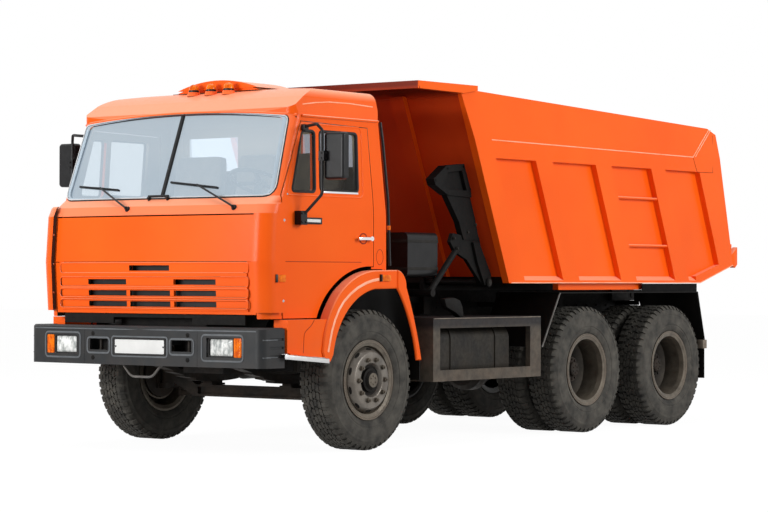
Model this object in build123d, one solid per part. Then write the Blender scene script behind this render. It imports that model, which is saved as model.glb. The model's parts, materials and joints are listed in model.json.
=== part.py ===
from build123d import *
import os
from functools import cache
from math import hypot

# Three-axle dump truck, millimetres. While it is built, Y = 0 is the front axle, the nose
# points along -Y, +X is the vehicle's left and Z = 0 is the road. export() moves the whole
# along Y so that the origin lies under the middle of the overall length.

# ---------------------------------------------------------------- driving dimensions
FRONT_OVERHANG = 1262      # bumper nose to front axle
WHEELBASE = 2840           # front axle to first rear axle
BOGIE = 1320               # between the two rear axles
REAR_OVERHANG = 1150       # last axle to the tips of the tailgate latches
TRACK_FRONT = 2042
TRACK_REAR = 1880          # between the middles of the twin pairs
TWIN_PITCH = 320
CLEAR = 6                  # gap between pieces that move past each other
SEAT = 0.3                 # gap between pieces of two bodies that rest on each other

AXLE_2 = WHEELBASE
AXLE_3 = WHEELBASE + BOGIE
TAIL_Y = AXLE_3 + REAR_OVERHANG
SHIFT_Y = (FRONT_OVERHANG - TAIL_Y) / 2

TYRE_R = 522
TYRE_W = 280
BEAD_R = 262
FLANGE_R = 298
RIM_T = 9
AXLE_Z = TYRE_R

# chassis
RAIL_X = 425               # outer face of a frame rail
RAIL_W = 80
RAIL_H = 290
RAIL_TOP = 1080
RAIL_T = 10
RAIL_FRONT = -1000
RAIL_END = 4780
SUB_X = 380                # inner face of the hoist subframe's beams
SUB_W = 80
SUB_H = 100
SUB_FRONT = 900
SUB_END = 4620
SUB_TOP = RAIL_TOP + SUB_H

# cab pivots and rests on the frame
PIVOT_ARM_T = 22
PIVOT_EYE_X = (RAIL_X + PIVOT_ARM_T + 6, RAIL_X + PIVOT_ARM_T + 56)
CAB_REST_Y = (120, 200)
TUNNEL_HALF = 400
TUNNEL_T = 30
TUNNEL_TOP = 1440

# steering
KINGPIN_X = 875
KINGPIN_R = 24
PIN_GAP = 0.1
ARM_L = 150                # kingpin to tie rod end
ARM_END_R = 26

# cab
CAB_PIVOT = (-1070, 990)   # Y, Z of the tilt axis
PIVOT_PIN_R = 14
PIVOT_EYE_R = 26
CAB_REAR = 275
CAB_BOTTOM = 985
FLOOR_Z = 1240
FLOOR_T = 32
COWL_Z = 1738              # top groove of the nose panel
GLASS_Z = 1866             # foot of the windscreen
GUTTER_Z = 2458
HEADER_Z = 2508            # gutter at the middle of the front
WALL = 45                  # cab wall and doors
PANEL_T = 24               # nose panel
NOSE_BOTTOM = 1015
NOSE_HALF = 992
GROOVE = 10

# dump body
BED_HALF = 1250
BED_SIDE_T = 12
BED_RIB = 50               # depth of the side posts
BED_INNER = BED_HALF - BED_RIB - BED_SIDE_T
BED_FLOOR_T = 12
BED_FLOOR = 1290           # underside of the floor plate
BED_SLANT = 0.419          # front edge: backward shift for each mm down
BED_HINGE = (4700, 1130)
HINGE_EYE_R = 42
BED_BEAM_X = 400
BED_BEAM_W = 70
HINGE_R = 28

# hoist
HOIST_FOOT = (3420, 715)
HOIST_HEAD = (3340, 1215)
HOIST_PIN_R = 22
CRADLE_X = 110              # middle of the webs that hold the foot pin
BARREL_R = 88

# ---------------------------------------------------------------- helpers


def block(x, y, z):
    """Box from three (low, high) pairs."""
    size = (x[1] - x[0], y[1] - y[0], z[1] - z[0])
    return Pos((x[0] + x[1]) / 2, (y[0] + y[1]) / 2, (z[0] + z[1]) / 2) * Box(*size)


def slab_x(outline, x):
    """Prism between two X of a closed outline in (Y, Z): points or a wire."""
    wire = outline if isinstance(outline, (Curve, Wire)) else Polyline(*outline, close=True)
    return extrude(Plane.YZ.offset(x[0]) * make_face(wire), x[1] - x[0], dir=(1, 0, 0))


def slab_y(outline, y):
    """Prism between two Y of a closed outline in (X, Z): points or a wire."""
    wire = outline if isinstance(outline, (Curve, Wire)) else Polyline(*outline, close=True)
    plane = Plane((0, y[0], 0), x_dir=(1, 0, 0), z_dir=(0, -1, 0))
    return extrude(plane * make_face(wire), y[1] - y[0], dir=(0, 1, 0))


def slab_z(outline, z):
    """Prism between two Z of a closed outline in (X, Y)."""
    wire = outline if isinstance(outline, (Curve, Wire)) else Polyline(*outline, close=True)
    return extrude(Plane.XY.offset(z[0]) * make_face(wire), z[1] - z[0], dir=(0, 0, 1))


def rod_x(r, x, y, z):
    return Pos((x[0] + x[1]) / 2, y, z) * Rot(0, 90, 0) * Cylinder(r, x[1] - x[0])


def rod_y(r, x, y, z):
    return Pos(x, (y[0] + y[1]) / 2, z) * Rot(90, 0, 0) * Cylinder(r, y[1] - y[0])


def rod_z(r, x, y, z):
    return Pos(x, y, (z[0] + z[1]) / 2) * Cylinder(r, z[1] - z[0])


def bar(p, q, w, h=None):
    """Straight bar from p to q: round of radius w, or w by h when h is given."""
    a, b = Vector(*p), Vector(*q)
    middle = Plane(origin=(a + b) / 2, z_dir=b - a)
    length = (b - a).length
    return middle * (Cylinder(w, length) if h is None else Box(w, h, length))


def tube(points, radius, bends):
    """Round bar along straight runs joined by arcs."""
    path = FilletPolyline(*points, radius=bends)
    start = path @ 0
    return sweep(Plane(origin=start, z_dir=path % 0) * Circle(radius), path=path)


def ring_x(profile, x=0, y=0, z=0):
    """Body of revolution about an X axis; profile is points or a wire of (X, radius)."""
    wire = profile if isinstance(profile, (Curve, Wire)) else Polyline(*profile, close=True)
    face = make_face(wire)
    return Pos(x, y, z) * revolve(Plane.XY * face, axis=Axis.X)


def mirrored(solid):
    return mirror(solid, about=Plane.YZ)


def both(solid):
    return [solid, mirrored(solid)]


# ---------------------------------------------------------------- wheels


BEAD_X = TYRE_W / 2 - 34


def tyre():
    """Closed tyre section with bulged sidewalls and a flat tread, about the X axis."""
    tread = BEAD_X
    shoulder = TYRE_R - 16
    side = TYRE_W / 2
    mid = (BEAD_R + shoulder) / 2 + 10
    right = [
        Line((BEAD_X, BEAD_R), (BEAD_X + 6, FLANGE_R + 4)),
        ThreePointArc((BEAD_X + 6, FLANGE_R + 4), (side, mid), (tread + 18, shoulder)),
        Line((tread + 18, shoulder), (tread, TYRE_R)),
    ]
    left = [mirror(edge, about=Plane.YZ) for edge in right]
    top = Line((-tread, TYRE_R), (tread, TYRE_R))
    bottom = Line((-BEAD_X, BEAD_R), (BEAD_X, BEAD_R))
    section = Wire((Curve() + right + left + [top, bottom]).edges())
    return revolve(make_face(section), axis=Axis.X)


def rim():
    """Rim barrel with its flanges, round the tyre's beads."""
    half = BEAD_X + 6 + SEAT
    seat = BEAD_X + SEAT
    seat_r = BEAD_R - SEAT
    well = BEAD_X - 34
    points = [
        (half, FLANGE_R), (half + RIM_T, FLANGE_R), (half + RIM_T, FLANGE_R - 16),
        (half, BEAD_R - 8), (well, BEAD_R - 16), (-well, BEAD_R - 16),
        (-half, BEAD_R - 8), (-half - RIM_T, FLANGE_R - 16), (-half - RIM_T, FLANGE_R),
        (-half, FLANGE_R), (-seat, seat_r), (seat, seat_r),
    ]
    return ring_x(points)


HAND_HOLES = 10
HOLE_PCD = 222
NUT_PCD_R = 167
DISC_T = 14
FRONT_DISC_X = 118         # wheel disc's outer face, outboard of the tyre's middle
HUB_R = 88
FRONT_HUB_IN = 30          # hub's inner end, inboard of the wheel's middle
REAR_HUB_IN = 130


def wheel_disc(face_x, foot_x):
    """Pressed disc: flat middle at face_x, cone out to the rim barrel at foot_x."""
    edge = BEAD_R - 14
    points = [
        (face_x, HUB_R + 12), (face_x, 190), (foot_x, edge), (foot_x - DISC_T, edge),
        (face_x - DISC_T, 182), (face_x - DISC_T, HUB_R + 12),
    ]
    disc = ring_x(points)
    middle = (face_x + foot_x) / 2
    for i in range(HAND_HOLES):
        angle = 360 / HAND_HOLES * (i + 0.5)
        hole = Rot(angle, 0, 0) * Pos(middle, 0, HOLE_PCD) * Rot(0, 90, 0) * Cylinder(21, 90)
        disc -= hole
    return disc


def hub(out_x, flange_x, in_x, drum):
    """Hub nose, flange behind the disc and brake drum; drum is (low, high) in X."""
    points = [
        (out_x, 0), (out_x, 52), (out_x - 14, 66), (flange_x + 26, 70), (flange_x + 22, HUB_R),
        (flange_x, HUB_R + 2), (flange_x, 186), (flange_x - 22, 190), (drum[1], 200),
        (drum[0], 205), (drum[0], 192), (drum[1] - 14, 188), (flange_x - 40, 92), (in_x, 80),
        (in_x, 0),
    ]
    return ring_x(points)


def front_wheel(side):
    x = side * TRACK_FRONT / 2
    middle = Pos(x, 0, AXLE_Z) * (Rot(0, 0, 0) if side > 0 else Rot(0, 0, 180))
    disc_x = FRONT_DISC_X
    metal = rim() + wheel_disc(disc_x, 70)
    metal += hub(disc_x + 48, disc_x - DISC_T, -FRONT_HUB_IN, (-60, 60))
    return middle * tyre(), middle * metal


def rear_wheel(side, y):
    """Twin wheels: the outer rim is a deep dish, both discs meet near the middle."""
    x = side * TRACK_REAR / 2
    turn = Rot(0, 0, 0) if side > 0 else Rot(0, 0, 180)
    place = Pos(x, y, AXLE_Z) * turn
    out = TWIN_PITCH / 2
    tyres = [place * Pos(out, 0, 0) * tyre(), place * Pos(-out, 0, 0) * tyre()]
    outer_disc = Pos(out, 0, 0) * wheel_disc_dish(out)
    inner_disc = Pos(-out, 0, 0) * wheel_disc(out, 70)
    metal = Pos(out, 0, 0) * rim() + Pos(-out, 0, 0) * rim() + outer_disc + inner_disc
    metal += hub(110, -DISC_T, -REAR_HUB_IN, (-170, -60))
    return tyres, place * metal


def wheel_disc_dish(out):
    """Disc of the outer twin: its flat lies inboard, at the middle of the pair."""
    face = -out + DISC_T
    edge = BEAD_R - 14
    foot = -70
    points = [
        (face, HUB_R + 12), (face, 188), (foot, edge), (foot - DISC_T, edge),
        (face - DISC_T, 196), (face - DISC_T, HUB_R + 12),
    ]
    return ring_x(points)


# ---------------------------------------------------------------- chassis


def frame_rails():
    """Two channel rails facing each other, cross-members, cab pivots and cab rests."""
    z0 = RAIL_TOP - RAIL_H
    inner = RAIL_X - RAIL_W
    channel = [
        (RAIL_X, z0), (RAIL_X, RAIL_TOP), (inner, RAIL_TOP), (inner, RAIL_TOP - RAIL_T),
        (RAIL_X - RAIL_T, RAIL_TOP - RAIL_T), (RAIL_X - RAIL_T, z0 + RAIL_T),
        (inner, z0 + RAIL_T), (inner, z0),
    ]
    pivot_y, pivot_z = CAB_PIVOT
    arm_x = (RAIL_X, RAIL_X + PIVOT_ARM_T)
    rest_x = (TUNNEL_HALF - TUNNEL_T + 2, RAIL_X)
    half = slab_y(channel, (RAIL_FRONT, RAIL_END))
    half += rod_x(PIVOT_EYE_R, arm_x, pivot_y, pivot_z)
    half += block(arm_x, (pivot_y, RAIL_FRONT + 120), (pivot_z - PIVOT_EYE_R, pivot_z + PIVOT_EYE_R))
    half += rod_x(PIVOT_PIN_R, (RAIL_X, PIVOT_EYE_X[1] + 4), pivot_y, pivot_z)
    half += block(rest_x, CAB_REST_Y, (RAIL_TOP, FLOOR_Z - FLOOR_T - SEAT))
    frame = half + mirrored(half)
    web = RAIL_X - RAIL_T
    members = [(RAIL_FRONT, 20, 940), (1420, 70, 980), (2250, 70, 980), (3060, 70, 980),
               (3700, 70, 980), (RAIL_END - 80, 80, 960)]
    for y, depth, z in members:
        frame += block((-web, web), (y, y + depth), (z - 60, z + 60))
    return frame


def subframe():
    """Hoist subframe on the rails, with the tipping hinge's brackets and pins at its end."""
    x1 = SUB_X + SUB_W
    beam = block((SUB_X, x1), (SUB_FRONT, SUB_END), (RAIL_TOP, SUB_TOP))
    hinge_y, hinge_z = BED_HINGE
    ear = slab_x([(SUB_END - 260, RAIL_TOP), (hinge_y + 60, RAIL_TOP), (hinge_y + 60, hinge_z),
                  (hinge_y + 30, hinge_z + 48), (SUB_END - 20, hinge_z + 48),
                  (SUB_END - 60, SUB_TOP - 2), (SUB_END - 260, SUB_TOP - 2)], (0, 20))
    half = beam + Pos(SUB_X - 20, 0, 0) * ear + Pos(x1 + 20, 0, 0) * ear
    half += block((x1, x1 + 40), (SUB_END - 260, SUB_END - 200), (RAIL_TOP, SUB_TOP - 2))
    half += rod_x(HINGE_R, (SUB_X - 26, x1 + 46), hinge_y, hinge_z)
    half += block((SUB_X - 20, RAIL_X), (SUB_END - 60, hinge_y + 60), (RAIL_TOP, RAIL_TOP + 6))
    whole = half + mirrored(half)
    for y in (SUB_FRONT, 1900, 2900, SUB_END - 80):
        whole += block((-SUB_X, SUB_X), (y, y + 80), (RAIL_TOP + 10, SUB_TOP - 20))
    foot_y, foot_z = HOIST_FOOT
    cradle = block((-RAIL_X + RAIL_T, RAIL_X - RAIL_T), (foot_y - 45, foot_y + 45), (630, 660))
    for s in (-1, 1):
        cradle += block(sorted((s * (RAIL_X - RAIL_W), s * (RAIL_X - RAIL_T))),
                        (foot_y - 45, foot_y + 45), (655, RAIL_TOP - RAIL_H))
        cradle += slab_x([(foot_y - 45, 655), (foot_y + 45, 655), (foot_y + 25, foot_z + 30),
                          (foot_y - 25, foot_z + 30)], (s * CRADLE_X - 10, s * CRADLE_X + 10))
    cradle += rod_x(HOIST_PIN_R, (-CRADLE_X - 14, CRADLE_X + 14), foot_y, foot_z)
    return whole, cradle


BUMPER_Z = (638, 925)
BUMPER_HALF = 1160
BUMPER_BOW = 34
BUMPER_WRAP = -992
BUMPER_T = 10
BUMPER_DEPTH = 140
BRACKET_X = (296, 308)
LAMP_X = (648, 888)
LAMP_Z = (712, 850)
AMBER_X = 968
TOW_X = (318, 505)
TOW_Z = (745, 826)
PLATE_X = 255
PLATE_Z = (718, 830)


def bumper_plan(inset):
    """Plan outline of the bumper, bowed at the front and wrapped round the corners."""
    nose = -FRONT_OVERHANG + inset
    half = BUMPER_HALF - inset
    corner_y = nose + BUMPER_BOW
    front = ThreePointArc((-half, corner_y), (0, nose), (half, corner_y))
    sides = Polyline((half, corner_y), (half, BUMPER_WRAP), (-half, BUMPER_WRAP), (-half, corner_y))
    face = make_face(Curve() + [front, sides])
    return fillet(face.vertices().sort_by(Axis.Y)[:2], 70 - inset)


def front_bumper():
    """Hollow pressed bumper with lamp, plate and towing recesses; open at the back."""
    low, high = BUMPER_Z
    outer = extrude(Plane.XY.offset(low) * bumper_plan(0), high - low)
    outer = chamfer(outer.edges().group_by(Axis.Z)[-1], 12)
    inner = extrude(Plane.XY.offset(low + BUMPER_T) * bumper_plan(BUMPER_T),
                    high - low - 2 * BUMPER_T)
    back = -FRONT_OVERHANG + BUMPER_DEPTH
    cavity = block((-BUMPER_HALF + 60, BUMPER_HALF - 60), (back, 0), (0, 2000))
    shell = outer - inner - cavity
    cut_y = (-FRONT_OVERHANG - 50, -FRONT_OVERHANG + 160)
    for s in (-1, 1):
        shell -= block(sorted((s * LAMP_X[0], s * AMBER_X)), cut_y, LAMP_Z)
        shell -= block(sorted((s * TOW_X[0], s * TOW_X[1])), cut_y, TOW_Z)
        for z in (722, 782, 842):
            groove = block(sorted((s * (BUMPER_HALF - 8), s * (BUMPER_HALF + 20))),
                           (-1150, BUMPER_WRAP - 12), (z - 9, z + 9))
            shell -= groove
    shell -= block((-PLATE_X - 8, PLATE_X + 8), (-FRONT_OVERHANG - 5, -FRONT_OVERHANG + 6),
                   (PLATE_Z[0] - 8, PLATE_Z[1] + 8))
    for s in (-1, 1):
        shell += block(sorted((s * BRACKET_X[0], s * BRACKET_X[1])),
                       (-FRONT_OVERHANG + 7, RAIL_FRONT), (RAIL_TOP - RAIL_H, 905))
    return shell


def lamps():
    """Headlamps with their side indicators in the bumper, and tail lamps on the rear bar."""
    front = -FRONT_OVERHANG + 26
    solids = []
    for s in (-1, 1):
        head = block(sorted((s * LAMP_X[0], s * (LAMP_X[1] - 4))), (front, front + 110), LAMP_Z)
        amber = block(sorted((s * (LAMP_X[1] + 4), s * AMBER_X)), (front + 4, front + 110), LAMP_Z)
        link = block(sorted((s * (LAMP_X[0] + 40), s * (AMBER_X - 10))), (front + 104, front + 130),
                     (LAMP_Z[0] + 20, LAMP_Z[1] - 20))
        solids.append(head + amber + link)
        tail = block(sorted((s * 760, s * 1120)), (REAR_BAR_Y[1], REAR_BAR_Y[1] + 55), (640, 760))
        solids.append(tail)
    return solids


REAR_BAR_Y = (4700, 4771)
REAR_BAR_Z = (655, 735)
BEAM_Z = 400               # middle of the dropped front axle beam
BEAM_HALF = 45             # half its thickness, and less than the knuckle's clearance round its eye
KNUCKLE_Z = (AXLE_Z - 72, AXLE_Z + 62)     # foot and top of the beam's eyes


def front_axle():
    """Forged drop beam with an upright eye at each end for the kingpin."""
    low, high = KNUCKLE_Z
    half = [
        (0, BEAM_Z - 45), (560, BEAM_Z - 45), (760, low), (KINGPIN_X, low),
        (KINGPIN_X, high), (740, high), (540, BEAM_Z + 45), (0, BEAM_Z + 45),
    ]
    outline = half + [(-x, z) for x, z in reversed(half[1:-1])]
    beam = slab_y(outline, (-BEAM_HALF, BEAM_HALF))
    web_cut = block((-520, 520), (12, 60), (BEAM_Z - 28, BEAM_Z + 28))
    beam = beam - web_cut - Rot(0, 0, 180) * web_cut
    for s in (-1, 1):
        beam += rod_z(BEAM_HALF + 1, s * KINGPIN_X, 0, KNUCKLE_Z)
        beam -= rod_z(KINGPIN_R + PIN_GAP, s * KINGPIN_X, 0, (low - 8, high + 8))
        beam += block((s * 400 - 60, s * 400 + 60), (-75, 75), (BEAM_Z + 45, BEAM_Z + 60))
    return beam


def knuckle(side):
    """Fork round the axle's eye with the kingpin, spindle, brake plate and steering arm."""
    x = KINGPIN_X
    low, high = KNUCKLE_Z
    part = rod_z(KINGPIN_R, x, 0, (low - 40, high + 40))
    part += rod_z(44, x, 0, (high + 2, high + 44)) + rod_z(44, x, 0, (low - 44, low - 2))
    part += block((x, x + 80), (-44, 44), (high + 2, high + 44))
    part += block((x, x + 80), (-44, 44), (low - 44, low - 2))
    part += block((x + 54, x + 80), (-60, 60), (low - 44, high + 44))
    brake_x = TRACK_FRONT / 2 - 62
    part += rod_x(186, (x + 70, brake_x - 4), 0, AXLE_Z)
    part += rod_x(40, (x + 60, TRACK_FRONT / 2 - FRONT_HUB_IN - SEAT), 0, AXLE_Z)
    arm_low = low - 44
    part += slab_z([(x + 60, 30), (x + ARM_END_R, ARM_L), (x - ARM_END_R, ARM_L), (x - 20, -10),
                    (x + 60, -40)], (arm_low, arm_low + 26))
    part += rod_z(ARM_END_R, x, ARM_L, (arm_low, arm_low + 26))
    return part if side > 0 else mirrored(part)


def tie_rod():
    """Cross tube under the two steering arms, with a flat-topped end under each."""
    top = KNUCKLE_Z[0] - 44 - SEAT
    bar_z = top - 40
    rod = rod_x(22, (-KINGPIN_X, KINGPIN_X), ARM_L, bar_z)
    for s in (-1, 1):
        rod += rod_z(ARM_END_R, s * KINGPIN_X, ARM_L, (bar_z - 26, top))
    return rod


def drive_axle(y):
    """Banjo axle: round centre with its cover, tapered arms and brake plates."""
    centre = Pos(0, y, AXLE_Z) * Rot(90, 0, 0) * Cylinder(205, 2 * AXLE_HALF)
    centre = chamfer(centre.edges().group_by(Axis.Y)[0] + centre.edges().group_by(Axis.Y)[-1], 40)
    arm_end = TRACK_REAR / 2 - 178
    arm = ring_x([(0, 0), (0, AXLE_ARM_R), (330, 74), (arm_end, 66), (arm_end, 0)], 0, y, AXLE_Z)
    plate = rod_x(184, (arm_end - 26, arm_end - 12), y, AXLE_Z)
    spindle = rod_x(44, (arm_end - 4, TRACK_REAR / 2 - REAR_HUB_IN - SEAT), y, AXLE_Z)
    reach = BOGIE / 2 + SPRING_PAD
    pad_top = REAR_SPRING_Z - REAR_SPRING_DROP * (reach / REAR_SPRING_HALF) ** 2 - SEAT
    pad = block((REAR_SPRING_X - 45, REAR_SPRING_X + 45), (y - SPRING_PAD, y + SPRING_PAD), (AXLE_Z, pad_top))
    half = arm + plate + spindle + pad
    nose = rod_y(70, 0, (y - AXLE_NOSE, y - 60), AXLE_NOSE_Z)
    return centre + half + mirrored(half) + nose


def leaf_pack(x, y, half, z, drop, leaves, up):
    """Stack of arched leaves; up is 1 for eyes above the middle, -1 for below."""
    pack = None
    for i in range(leaves):
        reach = half * (1 - i / (leaves + 1))
        sag = drop * (reach / half) ** 2
        z0 = z - up * i * 14
        ends = z0 + up * sag
        low = ThreePointArc((y - reach, ends), (y, z0), (y + reach, ends))
        high = ThreePointArc((y + reach, ends + 14), (y, z0 + 14), (y - reach, ends + 14))
        loop = Curve() + [low, Line((y + reach, ends), (y + reach, ends + 14)), high,
                          Line((y - reach, ends + 14), (y - reach, ends))]
        leaf = slab_x(loop, (x - 45, x + 45))
        pack = leaf if pack is None else pack + leaf
    return pack


def leaf_springs():
    """Front packs over the axle beam and rear packs over the bogie's pivot shaft."""
    solids = []
    for s in (-1, 1):
        x = s * 400
        seat = BEAM_Z + 60
        front = leaf_pack(x, 0, 760, seat + 70, 130, 5, 1)
        front += block((x - 45, x + 45), (-60, 60), (seat, seat + 84))
        for y in (-760, 760):
            front += rod_x(30, (x - 45, x + 45), y, seat + 214)
            front += block((x - 22, x + 25), (y - 30, y + 30), (seat + 214, RAIL_TOP - RAIL_H))
        solids.append(front)
        x = s * REAR_SPRING_X
        z = REAR_SPRING_Z
        mid = (AXLE_2 + AXLE_3) / 2
        rear = leaf_pack(x, mid, REAR_SPRING_HALF, z, REAR_SPRING_DROP, 8, -1)
        rear += block((x - 50, x + 50), (mid - 70, mid + 70), (z, z + 130))
        rear += rod_x(60, (x - 70, x + 70), mid, z - 80)
        rear += block((x - 40, x + 40), (mid - 50, mid + 50), (z - 80, z + 20))
        inner = sorted((s * RAIL_X, s * (REAR_SPRING_X - 30)))
        rear += block(inner, (mid - 180, mid + 180), (z - 100, 960))
        solids.append(rear)
    return solids


REAR_SPRING_X = 500
REAR_SPRING_Z = 640
REAR_SPRING_DROP = 40
REAR_SPRING_HALF = 700
SPRING_PAD = 30
AXLE_NOSE = 210            # pinion flange, ahead of a drive axle's middle
AXLE_NOSE_Z = AXLE_Z + 60
AXLE_HALF = 95             # half thickness of the banjo centre
AXLE_ARM_R = 110           # radius of its arms at the middle


def powertrain():
    """Engine, gearbox and sump as plain blocks, with the drive shafts to the bogie."""
    engine = block((-300, 300), (-720, 420), (760, 1330))
    engine += block((-200, 200), (-560, 260), (560, 770))
    box = block((-190, 190), (420, 1150), (700, 1040)) + rod_y(200, 0, (380, 520), 880)
    web = RAIL_X - RAIL_T
    mounts = block((-web, web), (-300, -200), (870, 940))
    mounts += block((-web, web), (900, 980), (840, 900))
    front = bar((0, 1130, 800), (0, AXLE_2 - AXLE_NOSE - 7, AXLE_NOSE_Z), 45)
    between = bar((0, AXLE_2 + AXLE_ARM_R + 1.2, AXLE_Z + 40),
                  (0, AXLE_3 - AXLE_NOSE - 1.2, AXLE_NOSE_Z), 42)
    return engine + box + mounts + front, between


def radiator():
    """Core and header tanks across the nose, ahead of the engine."""
    core = block((-330, 330), (-960, -880), (830, 1290))
    tanks = block((-345, 345), (-975, -865), (1290, 1345))
    tanks += block((-345, 345), (-975, -865), (780, 830))
    shroud = block((-300, 300), (-880, -790), (860, 1270)) - rod_y(190, 0, (-900, -780), 1065)
    web = RAIL_X - RAIL_T
    legs = block((-web, -330), (-950, -890), (860, 940)) + block((330, web), (-950, -890), (860, 940))
    return core + tanks + shroud + legs


TANK_X = 880
TANK_Z = 700
TANK_Y = (860, 1820)


def tanks():
    """Fuel tank on the left and air tanks on the right, on brackets off the rails."""
    y0, y1 = TANK_Y
    fuel = slab_y([(x, z) for x, z in rounded_box(TANK_X, TANK_Z, 520, 440)], (y0, y1))
    fuel = fillet(fuel.edges().filter_by(Axis.Y), 120)
    solids = [fuel]
    for y in (y0 + 160, y1 - 200):
        strap = slab_y([(x, z) for x, z in rounded_box(TANK_X, TANK_Z, 536, 456)], (y, y + 60))
        strap = fillet(strap.edges().filter_by(Axis.Y), 126)
        bracket = block((RAIL_X, TANK_X - 200), (y, y + 60), (TANK_Z + 90, GUARD_Z[1] - 16))
        solids[0] = solids[0] + strap + bracket
    for z, r in ((815, 118), (565, 118)):
        air = rod_y(r, -900, (y0 + 40, y1 - 60), z)
        air = fillet(air.edges().filter_by(GeomType.CIRCLE), 40)
        solids.append(air)
    carrier = block((-800, -RAIL_X), (y0 + 200, y0 + 260), (430, 955))
    carrier += block((-800, -RAIL_X), (y1 - 300, y1 - 240), (430, 955))
    right = solids[1] + solids[2] + carrier
    return [solids[0], right]


def rounded_box(x, z, w, h):
    return [(x - w / 2, z - h / 2), (x + w / 2, z - h / 2), (x + w / 2, z + h / 2), (x - w / 2, z + h / 2)]


GUARD_X = 1232
GUARD_Y = (682, 2140)
GUARD_Z = (488, 975)
GUARD_OPEN_Y = (770, 1990)
GUARD_OPEN_Z = (572, 895)


def side_guards():
    """Under-run frame outside the tanks with its window, top plate and stays to the rail."""
    x0 = GUARD_X - 45
    frame = block((x0, GUARD_X), GUARD_Y, GUARD_Z) - block((x0 - 5, GUARD_X + 5), GUARD_OPEN_Y, GUARD_OPEN_Z)
    top = block((RAIL_X, GUARD_X), GUARD_Y, (GUARD_Z[1] - 10, GUARD_Z[1]))
    for y in (GUARD_Y[0], GUARD_Y[1] - 50):
        top += block((RAIL_X, GUARD_X), (y, y + 50), (GUARD_Z[1] - 60, GUARD_Z[1]))
    front = block((x0 - 190, x0), (GUARD_Y[0], GUARD_Y[0] + 10), (GUARD_Z[0], GUARD_Z[1]))
    return both(frame + top + front)


def mudguards():
    """Plates ahead of, over and behind the twin wheels, with the rear bar and flaps."""
    t = 8
    inner, outer = 620, 1236
    front = slab_x([(2146, 723), (2146 + t, 720), (2407 + t, 1156), (2407, 1159)], (inner, outer))
    top = block((inner, outer), (2400, 4613), (1156, 1156 + t))
    rear = slab_x([(4605, 1164), (4613 + t, 1164), (4736 + t, 735), (4736, 735)], (inner, outer))
    flap = block((inner + 20, outer - 6), (4736, 4736 + t), (393, 740))
    stay = block((RAIL_X, inner + 20), (2380, 2440), (1040, 1080)) + block((inner, inner + 20), (2380, 2440), (1040, 1160))
    stay2 = block((RAIL_X, inner + 20), (4540, 4600), (1040, 1080)) + block((inner, inner + 20), (4540, 4600), (1040, 1160))
    half = front + top + rear + flap + stay + stay2
    half += block((RAIL_X, inner + 20), (3300, 3360), (1040, 1080))
    half += block((inner, inner + 20), (3300, 3360), (1040, 1160))
    rear_bar = block((-1180, 1180), REAR_BAR_Y, REAR_BAR_Z)
    for s in (-1, 1):
        rear_bar += block((s * 390 - 30, s * 390 + 30), (REAR_BAR_Y[0], RAIL_END - 20), (REAR_BAR_Z[0], RAIL_TOP - RAIL_H))
    return [half, mirrored(half), rear_bar]


# fender outlines, (Y, Z), front axle at Y = 0
ARCH_OUT = [(-590, 744), (-525, 985), (-384, 1176), (-190, 1290), (31, 1336)]
ARCH_IN = [(-498, 669), (-464, 719), (-385, 930), (-267, 1066), (-115, 1158), (31, 1197)]
FENDER_X = (1106, 1185)
FENDER_SPLIT = 296
STEP_FRONT = -975
LIP_FACE = 1168            # inner side of the lip's face, outboard of the tyre
STEER_REACH = hypot(TYRE_R, TRACK_FRONT / 2 + BEAD_X - KINGPIN_X)   # tyre's far edge from the kingpin
FLAP_Y = STEER_REACH + CLEAR        # rubber flap, clear of the steered tyre
LIP_RETURN = 14


def fender_front_outline():
    outer = [ThreePointArc(*ARCH_OUT[0:3]), ThreePointArc(*ARCH_OUT[2:5]),
             Line(ARCH_OUT[4], (FENDER_SPLIT - 3, 1339)), Line((FENDER_SPLIT - 3, 1339), (FENDER_SPLIT - 3, 1200))]
    inner = [Line((FENDER_SPLIT - 3, 1200), ARCH_IN[5]), ThreePointArc(*reversed(ARCH_IN[3:6])),
             ThreePointArc(*reversed(ARCH_IN[1:4])), Line(ARCH_IN[1], ARCH_IN[0])]
    foot = [Line(ARCH_IN[0], (-560, 671)), Line((-560, 671), ARCH_OUT[0])]
    return Curve() + outer + inner + foot


def wheelhouse(points, t, x):
    """Thin arched sheet that follows three-point arcs on the (Y, Z) plane."""
    sheet = None
    for a, m, b in points:
        arc = ThreePointArc(a, m, b)
        band = trace_band(arc, t)
        piece = slab_x(band, x)
        sheet = piece if sheet is None else sheet + piece
    return sheet


def trace_band(arc, t):
    """Closed loop between an arc and its copy moved outward by t, about the wheel centre."""
    pts = [arc @ 0, arc @ 0.5, arc @ 1]
    grown = [radial((p.X, p.Y), t) for p in pts]
    flat = [(p.X, p.Y) for p in pts]
    return Curve() + [ThreePointArc(*flat), Line(flat[2], grown[2]), ThreePointArc(*reversed(grown)),
                      Line(grown[0], flat[0])]


def radial(point, t):
    """Point of the (Y, Z) plane moved outward by t from the front wheel's centre."""
    y, z = point
    reach = hypot(y, z - AXLE_Z)
    k = (reach + t) / reach
    return (y * k, AXLE_Z + (z - AXLE_Z) * k)


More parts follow.
